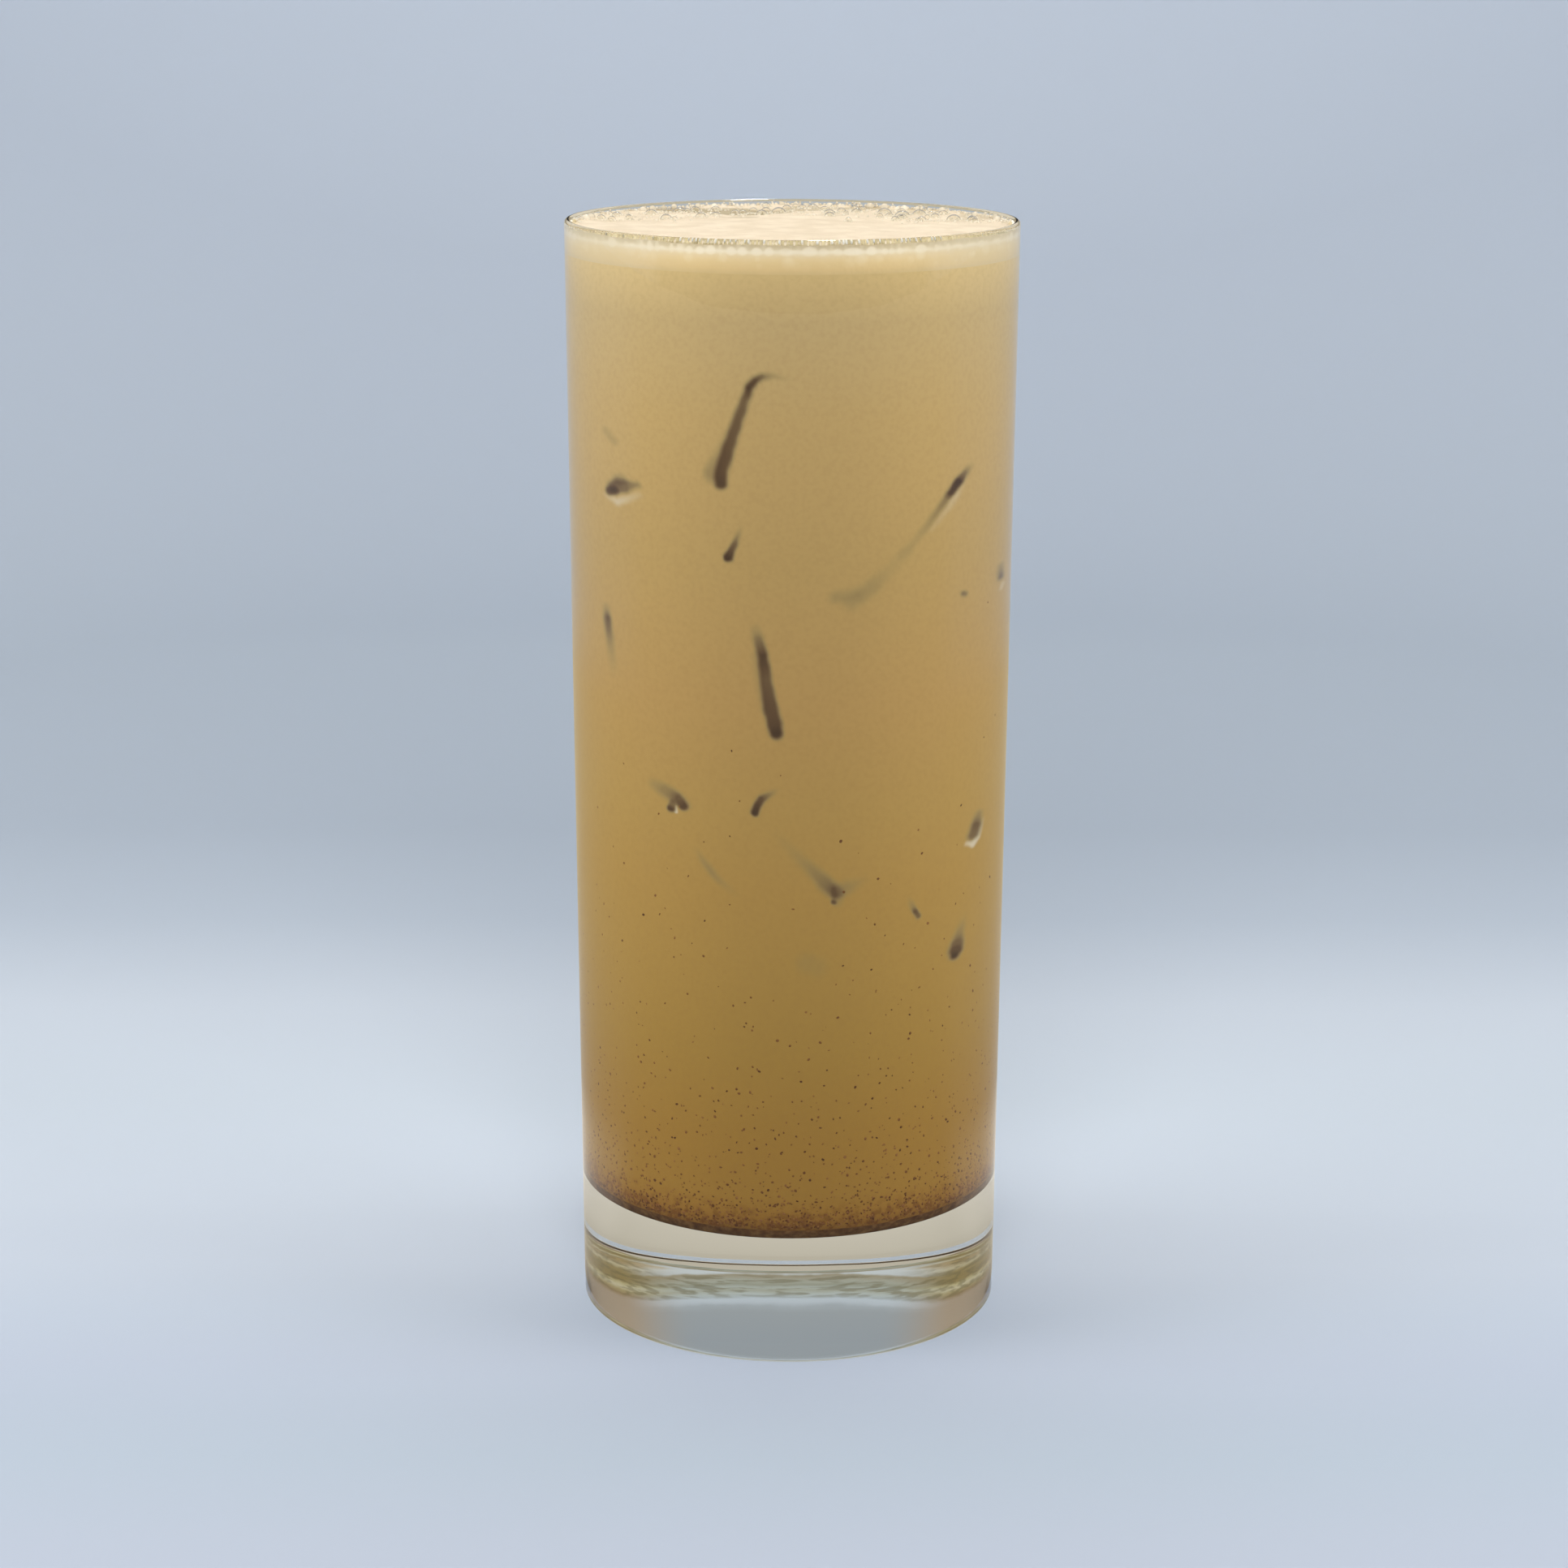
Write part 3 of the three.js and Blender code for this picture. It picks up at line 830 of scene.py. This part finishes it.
bpy.ops.object.select_all(action="DESELECT")
bpy.ops.mesh.primitive_grid_add(
    x_subdivisions=FOAM_GRID, y_subdivisions=FOAM_GRID, size=2, location=(0, 0, FOAM_TOP))
foam = bpy.context.object
foam.name = "cream_foam"
bpy.ops.object.transform_apply(location=True, rotation=True, scale=True)
foam_radius = inner_radius(FOAM_TOP) + WETTING
for vertex in foam.data.vertices:
    across, along, level = vertex.co
    vertex.co.x = foam_radius * across * math.sqrt(1 - along * along / 2)
    vertex.co.y = foam_radius * along * math.sqrt(1 - across * across / 2)
    vertex.co.z = FOAM_TOP + foam_relief(vertex.co.x, vertex.co.y)
top_count = len(foam.data.vertices)
bpy.ops.object.mode_set(mode="EDIT")
bpy.ops.mesh.select_mode(type="EDGE")
bpy.ops.mesh.select_all(action="SELECT")
bpy.ops.mesh.region_to_loop()
drop = (CHAI_TOP - FOAM_TOP) / FOAM_ROWS
for _ in range(FOAM_ROWS):
    bpy.ops.mesh.extrude_edges_move(TRANSFORM_OT_translate={"value": (0, 0, drop)})
bpy.ops.mesh.edge_face_add()
bpy.ops.mesh.select_all(action="SELECT")
bpy.ops.mesh.normals_make_consistent(inside=False)
bpy.ops.object.mode_set(mode="OBJECT")
upper = []
wet = []
cluster_values = []
for vertex in foam.data.vertices:
    place = vertex.co
    radius = math.hypot(place.x, place.y)
    if vertex.index >= top_count:
        edge_level = FOAM_TOP + foam_relief(place.x, place.y)
        share_down = (edge_level - place.z) / (FOAM_TOP - CHAI_TOP)
        place.z = edge_level - share_down * (edge_level - CHAI_TOP)
        reach = (inner_radius(place.z) + WETTING) / radius
        place.x *= reach
        place.y *= reach
        upper.append(0.0)
        wet.append(0.0)
        cluster_values.append(paleness(froth_domes, froth_spots, place))
    else:
        upper.append(clamped((foam_radius - radius) / EDGE_WIDTH))
        wet.append(wetness(place.x, place.y))
        cluster_values.append(0.0)
for attribute_name, values in (("upper", upper), ("wet", wet), ("cluster", cluster_values)):
    foam.data.attributes.new(attribute_name, "FLOAT", "POINT").data.foreach_set("value", values)
bpy.ops.object.shade_smooth_by_angle(angle=FOAM_EDGE_ANGLE)
foam.data.materials.append(make_foam_material())
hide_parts("foam")
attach(foam, "root")


# The wall bubbles: a ring of small wet bubbles where the foam meets the glass, with a row of finer
# ones between them, and tiny glossy ones on top, painted white as glints. Those behind are paler,
# froth with painted light. They stand nearly as high as the rim.
# Levels of the tops and radii of the balls, in millimetres
BUBBLE_TOP_IN_FRONT = (159.20, 159.36)
BUBBLE_TOP_BEHIND = (159.25, 159.80)
RING_COUNT = 96
RING_BUBBLE = (0.42, 0.62)
FINE_RING_COUNT = 330
FINE_RING_BUBBLE = (0.22, 0.30)
FINE_RING_TOP = (159.44, 159.56)
GLINT_BUBBLE = (0.13, 0.18)
GLINT_TOP = (159.71, 159.75)
# Tiny bubbles painted white as glints in front, in degrees round from the front
GLINT_ANGLES = (
    -36.3, -33.1, -28.3, -26.0, -25.0, -24.0, -23.0, -20.8, -18.9, -16.6, -15.1, -13.8, -11.5, -10.6,
    -6.8, -3.1, 2.4, 6.1, 9.7, 11.5, 12.5, 13.2, 14.5, 16.4, 18.5, 20.2, 21.8, 26.4, 27.7, 28.9,
    30.0, 31.7, 33.1, 36.5, 37.4, 39.3,
)
MORE_GLINTS = 90
MORE_GLINTS_FROM = (45, 315)
# How far the balls reach into the wall, in millimetres
PRESSED = 0.05
GLINT_PRESSED = 0.12


def make_bubble_material(name, shine, darkest=(200, 184, 150), palest=(220, 206, 176)):
    """Wet bubble skin: olive where the tea shows through it, paler where it is froth and where light is
    painted on it.
    """
    material, tree, shader = new_material(name)
    colour = colour_ramp(tree, attribute_value(tree, "tone"), [
        (0.0, *darkest), (0.5, *palest), (0.55, 196, 187, 168), (1.0, 224, 217, 202)])
    tree.links.new(colour, shader.inputs["Base Color"])
    shader.inputs["Roughness"].default_value = 0.2
    shader.inputs["Specular IOR Level"].default_value = shine
    return material


def wall_bubble(angle, top, radius, pressed=PRESSED):
    """Place of a ball that touches the wall, with its highest point at a level."""
    place = wall_place(angle, top - radius, radius - pressed)
    return Matrix.Translation(place) @ Matrix.Scale(radius * MM, 4)


def is_behind(angle):
    return 95 < angle % 360 < 265


def bubble_tone_and_light(angle):
    """Olive in front, where the tea shows through; pale behind, froth with painted light."""
    return rng.uniform(0.55, 1.0) if is_behind(angle) else rng.uniform(0.0, 0.5)


def bubble_ring(count, jitter, size, top_in_front, top_behind):
    """Places and tones of a ring of bubbles along the wall, evenly spread but for some jitter."""
    places = []
    tones = []
    for i in range(count):
        angle = 360 * (i + rng.uniform(-jitter, jitter)) / count
        top = rng.uniform(*(top_behind if is_behind(angle) else top_in_front))
        places.append(wall_bubble(angle, top, rng.uniform(*size)))
        tones.append(bubble_tone_and_light(angle))
    return places, tones


rng = random.Random(8)
places, tones = bubble_ring(RING_COUNT, 0.3, RING_BUBBLE, BUBBLE_TOP_IN_FRONT, BUBBLE_TOP_BEHIND)
ring = scattered("wall_bubbles", ball(3), places, make_bubble_material("wet_bubbles", 0.15), tones)
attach(ring, "root")

places, tones = bubble_ring(FINE_RING_COUNT, 0.25, FINE_RING_BUBBLE, FINE_RING_TOP, FINE_RING_TOP)
fine_material = make_bubble_material("fine_wet_bubbles", 0.15, (190, 176, 140), (222, 208, 174))
fine_ring = scattered("fine_wall_bubbles", ball(2), places, fine_material, tones)
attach(fine_ring, "root")

glint_angles = list(GLINT_ANGLES) + [rng.uniform(*MORE_GLINTS_FROM) for _ in range(MORE_GLINTS)]
places = [
    wall_bubble(angle, rng.uniform(*GLINT_TOP), rng.uniform(*GLINT_BUBBLE), GLINT_PRESSED)
    for angle in glint_angles
]
tones = [bubble_tone_and_light(angle) for angle in glint_angles]
# Painted highlight: the tiny bubbles are near white, so that they show as glints
glint_material = make_bubble_material("glint_white_bubbles", 1.0, (250, 248, 240), (255, 254, 250))
glints = scattered("tiny_wall_bubbles", ball(3), places, glint_material, tones)
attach(glints, "root")


# The surface bubbles: thin clear skins that stand in the wet back part of the foam, with fine
# white froth gathered round the foot of each and strewn between them.
DOME_TOP = GLASS_HEIGHT - 0.25 * MM
DOME_ARC = (12, 168)
FROTH_ARC = (10, 170)
# The larger bubbles that the camera sees: place on the foam and radius, in millimetres.
DOMES = (
    (-20.6, 17.9, 1.15), (-16.5, 22.0, 1.30), (-14.3, 23.0, 0.90), (-11.3, 24.0, 0.85),
    (-5.7, 19.8, 0.65), (-3.9, 21.5, 0.75), (-2.0, 20.6, 1.15), (1.5, 27.0, 0.65),
    (3.0, 27.0, 0.85), (5.4, 19.0, 1.05), (7.2, 20.3, 0.75), (5.4, 15.0, 0.80),
    (13.5, 20.6, 1.20), (12.6, 11.5, 0.45), (16.0, 16.7, 1.25), (18.5, 18.1, 1.20),
    (22.0, 18.5, 0.85), (23.2, 10.6, 1.15), (8.0, 6.2, 0.45),
)
MORE_DOMES = 44
MORE_DOME = (0.35, 0.90)
# Thickness of a skin as a share of its bubble's radius
SKIN_SHARE = 0.04
FROTH_AROUND = 9
FROTH_STREWN = 300
FROTH_BUBBLE = (0.10, 0.24)


def skin(subdivisions):
    """A hollow ball of radius 1 with a thin skin, to make scattered copies of."""
    model = ball(subdivisions)
    solidify = model.modifiers.new("skin", "SOLIDIFY")
    solidify.thickness = SKIN_SHARE
    solidify.offset = -1
    bpy.ops.object.modifier_apply(modifier="skin")
    return model


def free_of(places, x, y, radius):
    return all(math.hypot(x - other[0], y - other[1]) > 0.9 * (radius + other[2]) for other in places)


def froth_place(x, y, radius):
    """Place of a fine bubble that lies half sunk in the top of the foam."""
    level = FOAM_TOP + foam_relief(x, y) + 0.2 * radius
    return Matrix.Translation((x, y, level)) @ Matrix.Scale(radius, 4)


rng = random.Random(21)
domes = list(DOMES)
reach = inner_radius(FOAM_TOP) / MM - 1.3
while len(domes) < len(DOMES) + MORE_DOMES:
    radius = rng.uniform(*MORE_DOME)
    angle = math.radians(rng.uniform(*DOME_ARC))
    distance = (reach - radius) * (1 - 0.45 * rng.random() ** 1.6)
    x = distance * math.cos(angle)
    y = distance * math.sin(angle)
    if free_of(domes, x, y, radius):
        domes.append((x, y, radius))
dome_places = [
    Matrix.Translation((x * MM, y * MM, DOME_TOP - (radius + rng.uniform(0, 0.2)) * MM))
    @ Matrix.Scale(radius * MM, 4)
    for x, y, radius in domes
]
skin_material = make_clear_material("bubble_skin", (1.0, 0.99, 0.97, 1), 1.33, 0.0)
surface_bubbles = scattered("surface_bubbles", skin(3), dome_places, skin_material)
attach(surface_bubbles, "root")

froth_places = []
for x, y, radius in domes:
    for i in range(FROTH_AROUND):
        angle = 2 * math.pi * (i + rng.random()) / FROTH_AROUND
        distance = (radius * rng.uniform(0.92, 1.08)) * MM
        size = rng.uniform(*FROTH_BUBBLE) * MM
        froth_places.append(froth_place(
            x * MM + distance * math.cos(angle), y * MM + distance * math.sin(angle), size))
for _ in range(FROTH_STREWN):
    angle = rng.uniform(*(math.radians(end) for end in FROTH_ARC))
    distance = (inner_radius(FOAM_TOP) - 0.8 * MM) * (1 - 0.5 * rng.random() ** 1.4)
    froth_places.append(froth_place(
        distance * math.cos(angle), distance * math.sin(angle), rng.uniform(*FROTH_BUBBLE) * MM))
tones = [rng.uniform(0.7, 1.0) for _ in froth_places]
froth = scattered("fine_froth", ball(2), froth_places, make_bubble_material("white_froth", 0.3), tones)
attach(froth, "root")


# The room: a pale sheet that lies flat under the glass and sweeps up all round it, soft lamps,
# cards and a dark canopy that only the clear stuffs mirror or let through, and the camera where
# the photographer stood.
SWEEP_FLAT_RADIUS = 0.5
SWEEP_CURVE = 0.3
SWEEP_RADIUS = SWEEP_FLAT_RADIUS + SWEEP_CURVE
SWEEP_HEIGHT = 0.45
# The sheet stays a hair's breadth under the foot, so that the two faces don't coincide.
SWEEP_GAP = 0.02 * MM
ROOM_STEPS = 96


def make_sweep_material():
    material, tree, shader = matt_material("pale_sweep", 0.8)
    # Painted light and shade: the sheet is dark in front, brightest just behind the glass and darker in
    # a band further back
    colour = level_ramp(tree, object_parts(tree)["Y"], -SWEEP_RADIUS, SWEEP_RADIUS, [
        (-300, 84, 86, 90), (-200, 172, 184, 202), (-92, 175, 187, 207), (-63, 172, 187, 206),
        (-47, 173, 187, 207), (-31, 178, 191, 212), (-13, 184, 198, 218), (6, 192, 205, 224),
        (33, 196, 209, 227), (84, 190, 203, 219), (135, 188, 200, 216), (195, 173, 186, 203),
        (265, 166, 179, 196), (456, 176, 189, 205), (700, 178, 190, 207),
        (SWEEP_RADIUS / MM, 190, 202, 219)])
    tree.links.new(colour, shader.inputs["Base Color"])
    return material


sweep = turned(
    "pale_sweep",
    [(0, -SWEEP_GAP), (SWEEP_FLAT_RADIUS / 2, -SWEEP_GAP)]
    + arc(SWEEP_FLAT_RADIUS, SWEEP_CURVE, SWEEP_CURVE + SWEEP_GAP, -90, 0, 12)
    + [(SWEEP_RADIUS + SWEEP_GAP, SWEEP_HEIGHT)],
    ROOM_STEPS,
)
sweep.data.materials.append(make_sweep_material())


def glowing_material(name, strength):
    """A black material that glows evenly, its node tree and its shader."""
    material, tree, shader = matt_material(name, 0.5)
    shader.inputs["Base Color"].default_value = (0, 0, 0, 1)
    shader.inputs["Emission Strength"].default_value = strength
    return material, tree, shader


def behind_glass(tree):
    """A value that goes from 0 in front of the glass to 1 behind it."""
    direction = tree.nodes.new("ShaderNodeVectorMath")
    direction.operation = "NORMALIZE"
    tree.links.new(object_place(tree), direction.inputs[0])
    parts = tree.nodes.new("ShaderNodeSeparateXYZ")
    tree.links.new(direction.outputs["Vector"], parts.inputs["Vector"])
    return spread(tree, parts.outputs["Y"], -0.25, 0.1)


def set_as_card(card, mirrored, let_through):
    """A card is seen in the glass alone: it is out of the picture and casts no shade or light."""
    card.visible_camera = False
    card.visible_diffuse = False
    card.visible_shadow = False
    card.visible_glossy = mirrored
    card.visible_transmission = let_through


def make_floor_card_material():
    material, tree, shader = glowing_material("floor_glow", 0.9)
    length = tree.nodes.new("ShaderNodeVectorMath")
    length.operation = "LENGTH"
    tree.links.new(object_place(tree), length.inputs[0])
    away = length.outputs["Value"]
    # Painted reflections: the glowing rings are what the foot and the lower wall mirror and let
    # through, darker in front
    back = colour_ramp(tree, away, [
        (0.030, 192, 184, 168), (0.033, 203, 196, 180), (0.045, 212, 205, 190), (0.060, 246, 240, 230),
        (0.085, 236, 230, 220), (0.105, 200, 193, 182), (0.133, 198, 190, 178), (0.160, 204, 195, 180),
        (0.190, 205, 195, 177), (0.250, 206, 195, 170), (0.450, 204, 193, 168), (0.560, 192, 198, 206)])
    front = colour_ramp(tree, away, [
        (0.06, 176, 170, 158), (0.14, 182, 176, 164), (0.28, 196, 190, 176), (1.0, 200, 194, 180)])
    colour = mixed(tree, behind_glass(tree), front, back)
    tree.links.new(colour, shader.inputs["Emission Color"])
    return material


CARD_GAP = 0.4 * MM
floor_card = turned(
    "floor_card",
    [(31.6 * MM, 1.1 * MM), (31.6 * MM, CARD_GAP), (0.15, CARD_GAP)]
    + arc(SWEEP_FLAT_RADIUS, SWEEP_CURVE, SWEEP_CURVE - CARD_GAP, -90, -45, 6)
    + [(0.7118, 0.125)],
    ROOM_STEPS,
)
floor_card.data.materials.append(make_floor_card_material())
set_as_card(floor_card, True, True)


def make_back_card_material():
    """Level bands that the foot gathers: grey in the middle, olive with fine streaks at the sides."""
    material, tree, shader = glowing_material("back_glow", 1.1)
    parts = object_parts(tree)
    aside = calculated(tree, "ABSOLUTE", parts["X"])
    lift = spread(tree, aside, 0.07, 0.50, 0.0, 0.052)
    lowered = calculated(tree, "SUBTRACT", parts["Z"], lift)
    wavering = calculated(tree, "MULTIPLY_ADD", cloudy(tree, 22, 2.0), 0.010, lowered)
    level = spread(tree, wavering, 0.152, 0.374, kind="LINEAR")
    middle = colour_ramp(tree, level, [
        (0.145, 186, 178, 162), (0.180, 186, 192, 194), (0.245, 184, 190, 192), (0.270, 146, 138, 118),
        (0.350, 154, 156, 144), (0.390, 140, 142, 128), (0.425, 158, 164, 157), (0.465, 154, 157, 145),
        (0.505, 166, 174, 171), (0.540, 162, 171, 174), (0.565, 176, 186, 194), (0.605, 172, 181, 189),
        (0.645, 154, 162, 168), (0.705, 146, 153, 158), (1.0, 142, 150, 157)])
    sides = colour_ramp(tree, level, [
        (0.065, 188, 176, 156), (0.095, 152, 132, 86), (0.135, 146, 128, 92), (0.190, 172, 162, 130),
        (0.230, 136, 120, 76), (0.315, 130, 113, 68), (0.360, 134, 118, 74), (0.400, 170, 160, 120),
        (0.440, 182, 174, 144), (0.480, 154, 140, 100), (0.525, 138, 118, 84), (0.575, 156, 140, 120),
        (1.0, 160, 146, 127)])
    outward = spread(tree, aside, 0.22, 0.50)
    colour = mixed(tree, outward, middle, sides)
    stretch = tree.nodes.new("ShaderNodeVectorMath")
    stretch.operation = "MULTIPLY"
    stretch.inputs[1].default_value = (1.0, 1.0, 9.0)
    tree.links.new(object_place(tree), stretch.inputs[0])
    lines = tree.nodes.new("ShaderNodeTexNoise")
    tree.links.new(stretch.outputs["Vector"], lines.inputs["Vector"])
    lines.inputs["Scale"].default_value = 13.0
    lines.inputs["Detail"].default_value = 4.0
    streaks = spread(tree, lines.outputs["Fac"], 0.46, 0.58, 0.0, 0.5)
    band = colour_ramp(tree, level, [(0.07, 0.0), (0.13, 1.0), (0.51, 1.0), (0.56, 0.0)])
    upper_band = spread(tree, level, 0.26, 0.30)
    streaked = calculated(tree, "MAXIMUM", outward, upper_band)
    for limit in (band, streaked):
        streaks = calculated(tree, "MULTIPLY", streaks, limit)
    colour = mixed(tree, streaks, colour, display(96, 88, 56))
    tree.links.new(colour, shader.inputs["Emission Color"])
    bare = tree.nodes.new("ShaderNodeBsdfTransparent")
    surface = mixed_shader(tree, behind_glass(tree), bare.outputs["BSDF"], shader.outputs["BSDF"])
    tree.links.new(surface, tree.nodes["Material Output"].inputs["Surface"])
    return material


# Painted reflections: the back card glows with the bands that the foot gathers, and is seen only
# through the glass
back_card = turned("back_card", [(0.72, 0.12), (0.72, 1.0)], ROOM_STEPS)
back_card.data.materials.append(make_back_card_material())
set_as_card(back_card, False, True)


def plain_card(name, profile, colour, strength):
    card = turned(name, profile, ROOM_STEPS)
    material, _, shader = glowing_material(name, strength)
    shader.inputs["Emission Color"].default_value = colour
    card.data.materials.append(material)
    return card


# Painted shade: a dim glowing canopy, seen only in the glass and the bubbles, that darkens what they
# mirror above
canopy = plain_card("dark_canopy", [(0.74, 0.17), (0.74, 1.2), (0, 1.2)], display(60, 62, 66), 1.0)
set_as_card(canopy, True, True)

# Painted highlights: a white glowing half ring behind, seen only in reflections, that puts white arcs
# on the rim and the bubbles
glow = plain_card("white_glow", [(0.70, 0.25), (0.70, 0.70)], display(255, 255, 255), 0.6)
bpy.ops.object.mode_set(mode="EDIT")
bpy.ops.mesh.select_all(action="SELECT")
bpy.ops.mesh.bisect(plane_co=(0, 0.57, 0), plane_no=(0, 1, 0), clear_inner=True)
bpy.ops.object.mode_set(mode="OBJECT")
set_as_card(glow, True, False)

world = bpy.data.worlds.new("soft_room")
world.use_nodes = True
background = world.node_tree.nodes["Background"]
background.inputs["Color"].default_value = (1.0, 0.95, 0.88, 1)
background.inputs["Strength"].default_value = 0.27
bpy.context.scene.world = world


WARM_LIGHT = (1.0, 0.945, 0.87)
WHITE_LIGHT = (1.0, 1.0, 1.0)


def soft_lamp(name, place, target, width, power, colour=WARM_LIGHT):
    light = bpy.data.lights.new(name, "AREA")
    light.shape = "DISK"
    light.size = width
    light.energy = power
    light.color = colour
    lamp = bpy.data.objects.new(name, light)
    lamp.location = place
    lamp.rotation_euler = (Vector(target) - Vector(place)).to_track_quat("-Z", "Y").to_euler()
    bpy.context.scene.collection.objects.link(lamp)
    return lamp


soft_lamps = [
    soft_lamp("top_lamp", (0.0, 0.25, 1.0), (0, 0.1, 0.1), 0.8, 2.25),
    soft_lamp("left_lamp", (-0.72, -0.15, 0.5), (0, 0, 0.08), 0.5, 4.3),
    soft_lamp("right_lamp", (0.72, -0.15, 0.5), (0, 0, 0.08), 0.5, 3.85),
    soft_lamp("front_lamp", (0, -0.85, 0.6), (0, 0, 0.08), 0.6, 8.5),
    soft_lamp("low_left_lamp", (-0.6, 0.12, 0.09), (0, 0, 0.03), 0.15, 0.7),
    soft_lamp("low_right_lamp", (0.6, 0.12, 0.09), (0, 0, 0.03), 0.15, 0.7),
]
for lamp in soft_lamps:
    lamp.visible_glossy = False
    lamp.visible_transmission = False
glint_lamp = soft_lamp("glint_lamp", (0.05, 0.55, 0.82), (0, 0, 0.15), 0.06, 2.0, WHITE_LIGHT)
glint_lamp.visible_diffuse = False
glint_lamp.visible_transmission = False

CAMERA_DISTANCE = 500.5 * MM
CAMERA_HEIGHT = 205.5 * MM
CAMERA_PITCH = math.radians(14.31)
CAMERA_ROLL = math.radians(0.21)
IMAGE_SIDE = 1932
FOCAL_PIXELS = 4344.2
AXIS_PIXEL = 973.7
camera_data = bpy.data.cameras.new("camera")
camera_data.sensor_width = 36
camera_data.lens = FOCAL_PIXELS / IMAGE_SIDE * camera_data.sensor_width
camera_data.shift_x = (IMAGE_SIDE / 2 - AXIS_PIXEL) / IMAGE_SIDE
camera = bpy.data.objects.new("camera", camera_data)
camera.matrix_world = (
    Matrix.Translation((0, -CAMERA_DISTANCE, CAMERA_HEIGHT))
    @ Matrix.Rotation(math.radians(90) - CAMERA_PITCH, 4, "X")
    @ Matrix.Rotation(CAMERA_ROLL, 4, "Z")
)
bpy.context.scene.collection.objects.link(camera)
bpy.context.scene.camera = camera
bpy.context.scene.view_settings.view_transform = "Standard"
